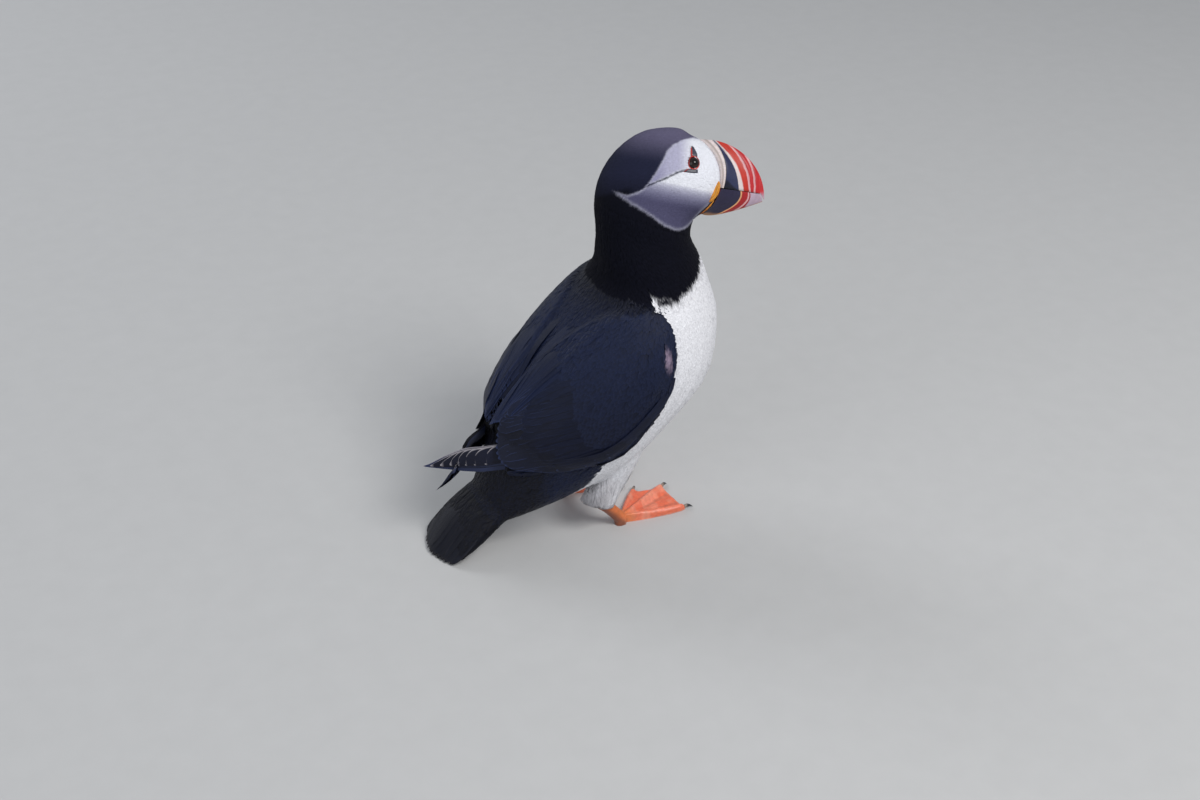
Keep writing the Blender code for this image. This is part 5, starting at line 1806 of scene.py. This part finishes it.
def foot_height(degrees, distance):
    """Height of the foot's upper side: toes, creased web and the joint that joins them."""
    height = np.full_like(distance, WEB_THICK)
    crease = np.zeros_like(distance)
    inside = (degrees > TOES[0][0]) & (degrees < TOES[-1][0])
    for angle, length, radius in TOES:
        away = np.radians(np.abs(degrees - angle)) * distance
        body = toe_joints(distance, radius) * 1.1 * (1 - 0.32 * distance / length)
        toe = WEB_THICK + (2 * body - WEB_THICK) * np.exp(-(away / radius) ** 2)
        height = np.maximum(height, toe)
        crease = crease + np.exp(-(away / (1.3 * radius)) ** 2)
    fan_folds = np.sin(np.radians(degrees) * WEB_FOLDS + 0.25 * np.sin(distance * 0.5))
    cross_folds = np.sin(distance * 1.5 + 1.2 * np.sin(np.radians(degrees) * 12))
    web = 0.30 * fan_folds * smoothstep(4, 14, distance) + 0.10 * cross_folds
    height = height + web * np.clip(1 - crease, 0, 1) * inside * 0.8
    return np.maximum(height, KNUCKLE_HEIGHT * np.exp(-(distance / 5.2) ** 2))


def foot_place(side):
    """Place of the toes' joint on the floor, and the heading of the middle toe."""
    (x, y), turned = FEET[side]
    return x, y, -SIDES[side] * math.radians(turned)


def foot_shape(side):
    x, y, turn = foot_place(side)
    degrees = np.concatenate([np.linspace(-30, 43, 190), np.linspace(46, 326, 44)])
    folded = (degrees + 180) % 360 - 180
    reach = np.array([foot_reach(d) for d in folded])
    rings = []
    for step in (0.03, *np.linspace(0.08, 0.985, 52), 1.0):
        distance = reach * step
        height = foot_height(folded, distance)
        height = height * (1 - 0.5 * smoothstep(0.96, 1.0, step))
        heading = turn + SIDES[side] * np.radians(degrees)
        rings.append(np.stack([x + distance * np.cos(heading), y + distance * np.sin(heading),
                               height], axis=1))
    rings.append(rings[-1] * (1, 1, 0))
    return np.concatenate(rings), capped_tube(len(rings), len(degrees))


def shank_shape(side):
    """The shank, from inside the thigh down to the joint of the toes, with its scutes."""
    x, y, _ = foot_place(side)
    low = np.array((x, y, 4.2))
    high = ankle_of(side) + (-2.0, 0, 4.0)
    around = 40
    turns = full_turn(around)
    along = unit(high - low)
    across = unit(np.cross(along, (0, 0, 1)))
    over = np.cross(across, along)
    rings = []
    for t in np.linspace(-0.06, 1, 70):
        size = SHANK_HALF * (1 - 0.16 * math.sin(math.pi * max(t, 0)) + 0.10 * t)
        size = size * math.sqrt(min(1.0, (t + 0.07) / 0.07)) + 0.06 * abs(math.sin(22 * t))
        rings.append(mix(low, high, t) + np.outer(size * 0.82 * np.cos(turns), across)
                     + np.outer(size * np.sin(turns), over))
    return np.concatenate(rings), capped_tube(len(rings), around)


def make_foot(side):
    """Foot and shank melted into one piece, coloured by places along toes, web and heel."""
    x, y, turn = foot_place(side)
    shapes = []
    for points, faces in (foot_shape(side), shank_shape(side)):
        mesh = bpy.data.meshes.new("foot")
        mesh.from_pydata([tuple(p) for p in points * MM], [], faces)
        outward(mesh)
        shapes.append(mesh)
    melted_mesh = voxel_join(shapes, 0.42, 2, grow=0.1)
    outer = mesh_arrays(melted_mesh)[0]
    outer[:, 2] = np.maximum(outer[:, 2], 0.0)
    away = np.hypot(outer[:, 0] - x, outer[:, 1] - y)
    ahead = np.array((math.cos(turn), math.sin(turn)))
    flat = outer[:, :2] - (x, y)
    aside = SIDES[side] * (ahead[0] * flat[:, 1] - ahead[1] * flat[:, 0])
    degrees = np.degrees(np.arctan2(aside, flat @ ahead))
    on_toe = np.zeros(len(outer))
    for angle, _, radius in TOES:
        off = np.radians(np.abs(degrees - angle)) * away
        on_toe = np.maximum(on_toe, np.exp(-(off / (radius * 0.9)) ** 2))
    blotches = smoothstep(0.15, 0.5, noise_at(outer, 5.0, 18))
    rgb = tinted(WEB_ORANGE, WEB_PINK, 0.55 * blotches + 0.25 * on_toe)
    rgb = tinted(rgb, TOE_ORANGE, 0.8 * smoothstep(13, 5, away))
    # Painted shade in the troughs of the web's folds.
    web_fold_shade = dent(np.sin(np.radians(degrees) * WEB_FOLDS), -1, 0.35) * smoothstep(4, 12, away)
    rgb = rgb * (1 - 0.22 * web_fold_shade * (1 - on_toe))[:, None]
    rim = smoothstep(1.2, 0.6, outer[:, 2]) * smoothstep(20, 30, away)
    rgb = tinted(rgb, WEB_PINK * 1.05, 0.5 * rim)
    shank = flat @ ahead + 0.9 * (outer[:, 2] - 4)
    rgb = tinted(rgb, TOE_ORANGE * 0.7, smoothstep(5, 9, outer[:, 2]) * 0.8)
    # Painted shade on the back of the heel and the foot of the shank.
    behind = smoothstep(2.5, -3.0, shank) * smoothstep(7.0, 3.0, away - 0.6 * outer[:, 2])
    rgb = tinted(rgb, HEEL_SHADE, 0.92 * behind)
    rgb = rgb * (1 + 0.10 * noise_at(outer, 1.6, 19) + 0.06 * noise_at(outer, 0.6, 20))[:, None]
    quads = [tuple(p.vertices) for p in melted_mesh.polygons]
    foot = make_piece("foot_and_shank_" + side, outer, quads, FOOT, np.clip(rgb, 0, 1))
    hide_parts("foot_" + side, "tarsus_" + side)
    make_claws(side)


def make_claws(side):
    x, y, turn = foot_place(side)
    around = 18
    turns = full_turn(around)
    shares = np.linspace(-0.28, 1, 22)
    keel = 1 - 0.25 * np.maximum(-np.sin(turns), 0)
    for name, (angle, length, _) in zip(("inner", "middle", "outer"), TOES):
        heading = turn + SIDES[side] * math.radians(angle)
        ahead = np.array([math.cos(heading), math.sin(heading), 0.0])
        across = np.array([-math.sin(heading), math.cos(heading), 0.0])
        rings = []
        for share in shares:
            size = CLAW_RADIUS * (1 - 0.9 * max(share, 0) ** 1.4) * (1 if share > -0.2 else 0.6)
            middle = np.array([x, y, 0]) + ahead * (length + 0.3 + CLAW_LENGTH * share)
            middle = middle + (0, 0, 2.0 + 1.3 * share - 2.95 * share ** 2)
            rings.append(middle + np.outer(size * 0.78 * np.cos(turns), across)
                         + np.outer(size * np.sin(turns) * keel, (0, 0, 1)))
        points = np.concatenate(rings)
        points[:, 2] = np.maximum(points[:, 2], 0.05)
        at = np.repeat(shares, around)
        rgb = tinted(CLAW_BASE, CLAW_GREY, smoothstep(-0.05, 0.3, at))
        rgb = tinted(rgb, CLAW_BASE * 0.5, 0.5 * smoothstep(0.8, 1.0, at))
        claw = make_piece("nail_" + name + "_" + side, points, capped_tube(len(shares), around),
                          CLAW, rgb)
        outward(claw.data)
        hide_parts("claw_" + name + "_" + side)


# --- the whole bird ---
plume_head()
plume_neck()
plume_trunk()
plume_thighs()
hang_plumes()
plume_tail()
plume_wings()
make_tail()
make_upper_bill()
make_lower_bill()
make_ridge()
for bird_side in SIDES:
    make_wing(bird_side)
    make_eye(bird_side)
    make_rosette(bird_side)
    make_gape_fold(bird_side)
    make_foot(bird_side)


# --- studio ---
# Name, place in metres, width, power and colour of each lamp
LIGHTS = (("key", (0.5, -1.2, 1.5), 0.9, 24, (1.0, 0.99, 0.97)),
          ("fill", (-1.5, -0.7, 0.9), 1.4, 6, (0.93, 0.96, 1.0)),
          ("rim", (-0.6, 1.5, 1.3), 1.0, 10, (0.95, 0.97, 1.0)))
LIT_HEIGHT = 0.11               # the lamps aim at this height over the middle of the floor
CAMERA_AT = (-0.34846, -0.73545, 0.57407)
CAMERA_TURN = math.radians(26.0)
CAMERA_DOWN = math.radians(31.5)


def make_floor():
    mesh = bpy.data.meshes.new("floor")
    mesh.from_pydata([(-4, -4, 0), (4, -4, 0), (4, 4, 0), (-4, 4, 0)], [], [(0, 1, 2, 3)])
    material, tree, shader = new_material("pale_floor")
    place = node(tree, "ShaderNodeTexCoord").outputs["Object"]
    grain = noise_texture(tree, place, 60.0, 4.0)
    grey = ranged(tree, grain, target=(0.50, 0.54))
    joined = node(tree, "ShaderNodeCombineColor")
    for socket in joined.inputs[:3]:
        link(tree, grey, socket)
    link(tree, joined.outputs[0], shader.inputs["Base Color"])
    shader.inputs["Roughness"].default_value = 0.8
    mesh.materials.append(material)
    floor = bpy.data.objects.new("floor", mesh)
    bpy.context.scene.collection.objects.link(floor)


def make_light(name, place, size, power, colour):
    light = bpy.data.lights.new(name, "AREA")
    light.shape = "DISK"
    light.size = size
    light.energy = power
    light.color = colour
    lamp = bpy.data.objects.new(name, light)
    lamp.location = place
    aim = Vector((0, 0, LIT_HEIGHT)) - Vector(place)
    lamp.rotation_euler = aim.to_track_quat("-Z", "Y").to_euler()
    bpy.context.scene.collection.objects.link(lamp)


def make_studio():
    bpy.context.scene.view_settings.view_transform = "Standard"
    make_floor()
    for light in LIGHTS:
        make_light(*light)
    world = bpy.data.worlds.new("studio")
    world.use_nodes = True
    set_inputs(world.node_tree.nodes["Background"],
               {"Color": (0.80, 0.84, 0.90, 1), "Strength": 0.4})
    bpy.context.scene.world = world


def make_camera():
    data = bpy.data.cameras.new("camera")
    data.lens = 50
    data.sensor_width = 36
    camera = bpy.data.objects.new("camera", data)
    ahead = Vector((math.sin(CAMERA_TURN) * math.cos(CAMERA_DOWN),
                    math.cos(CAMERA_TURN) * math.cos(CAMERA_DOWN), -math.sin(CAMERA_DOWN)))
    camera.location = CAMERA_AT
    camera.rotation_euler = ahead.to_track_quat("-Z", "Y").to_euler()
    bpy.context.scene.collection.objects.link(camera)
    bpy.context.scene.camera = camera


make_studio()
make_camera()


bpy.context.view_layer.update()
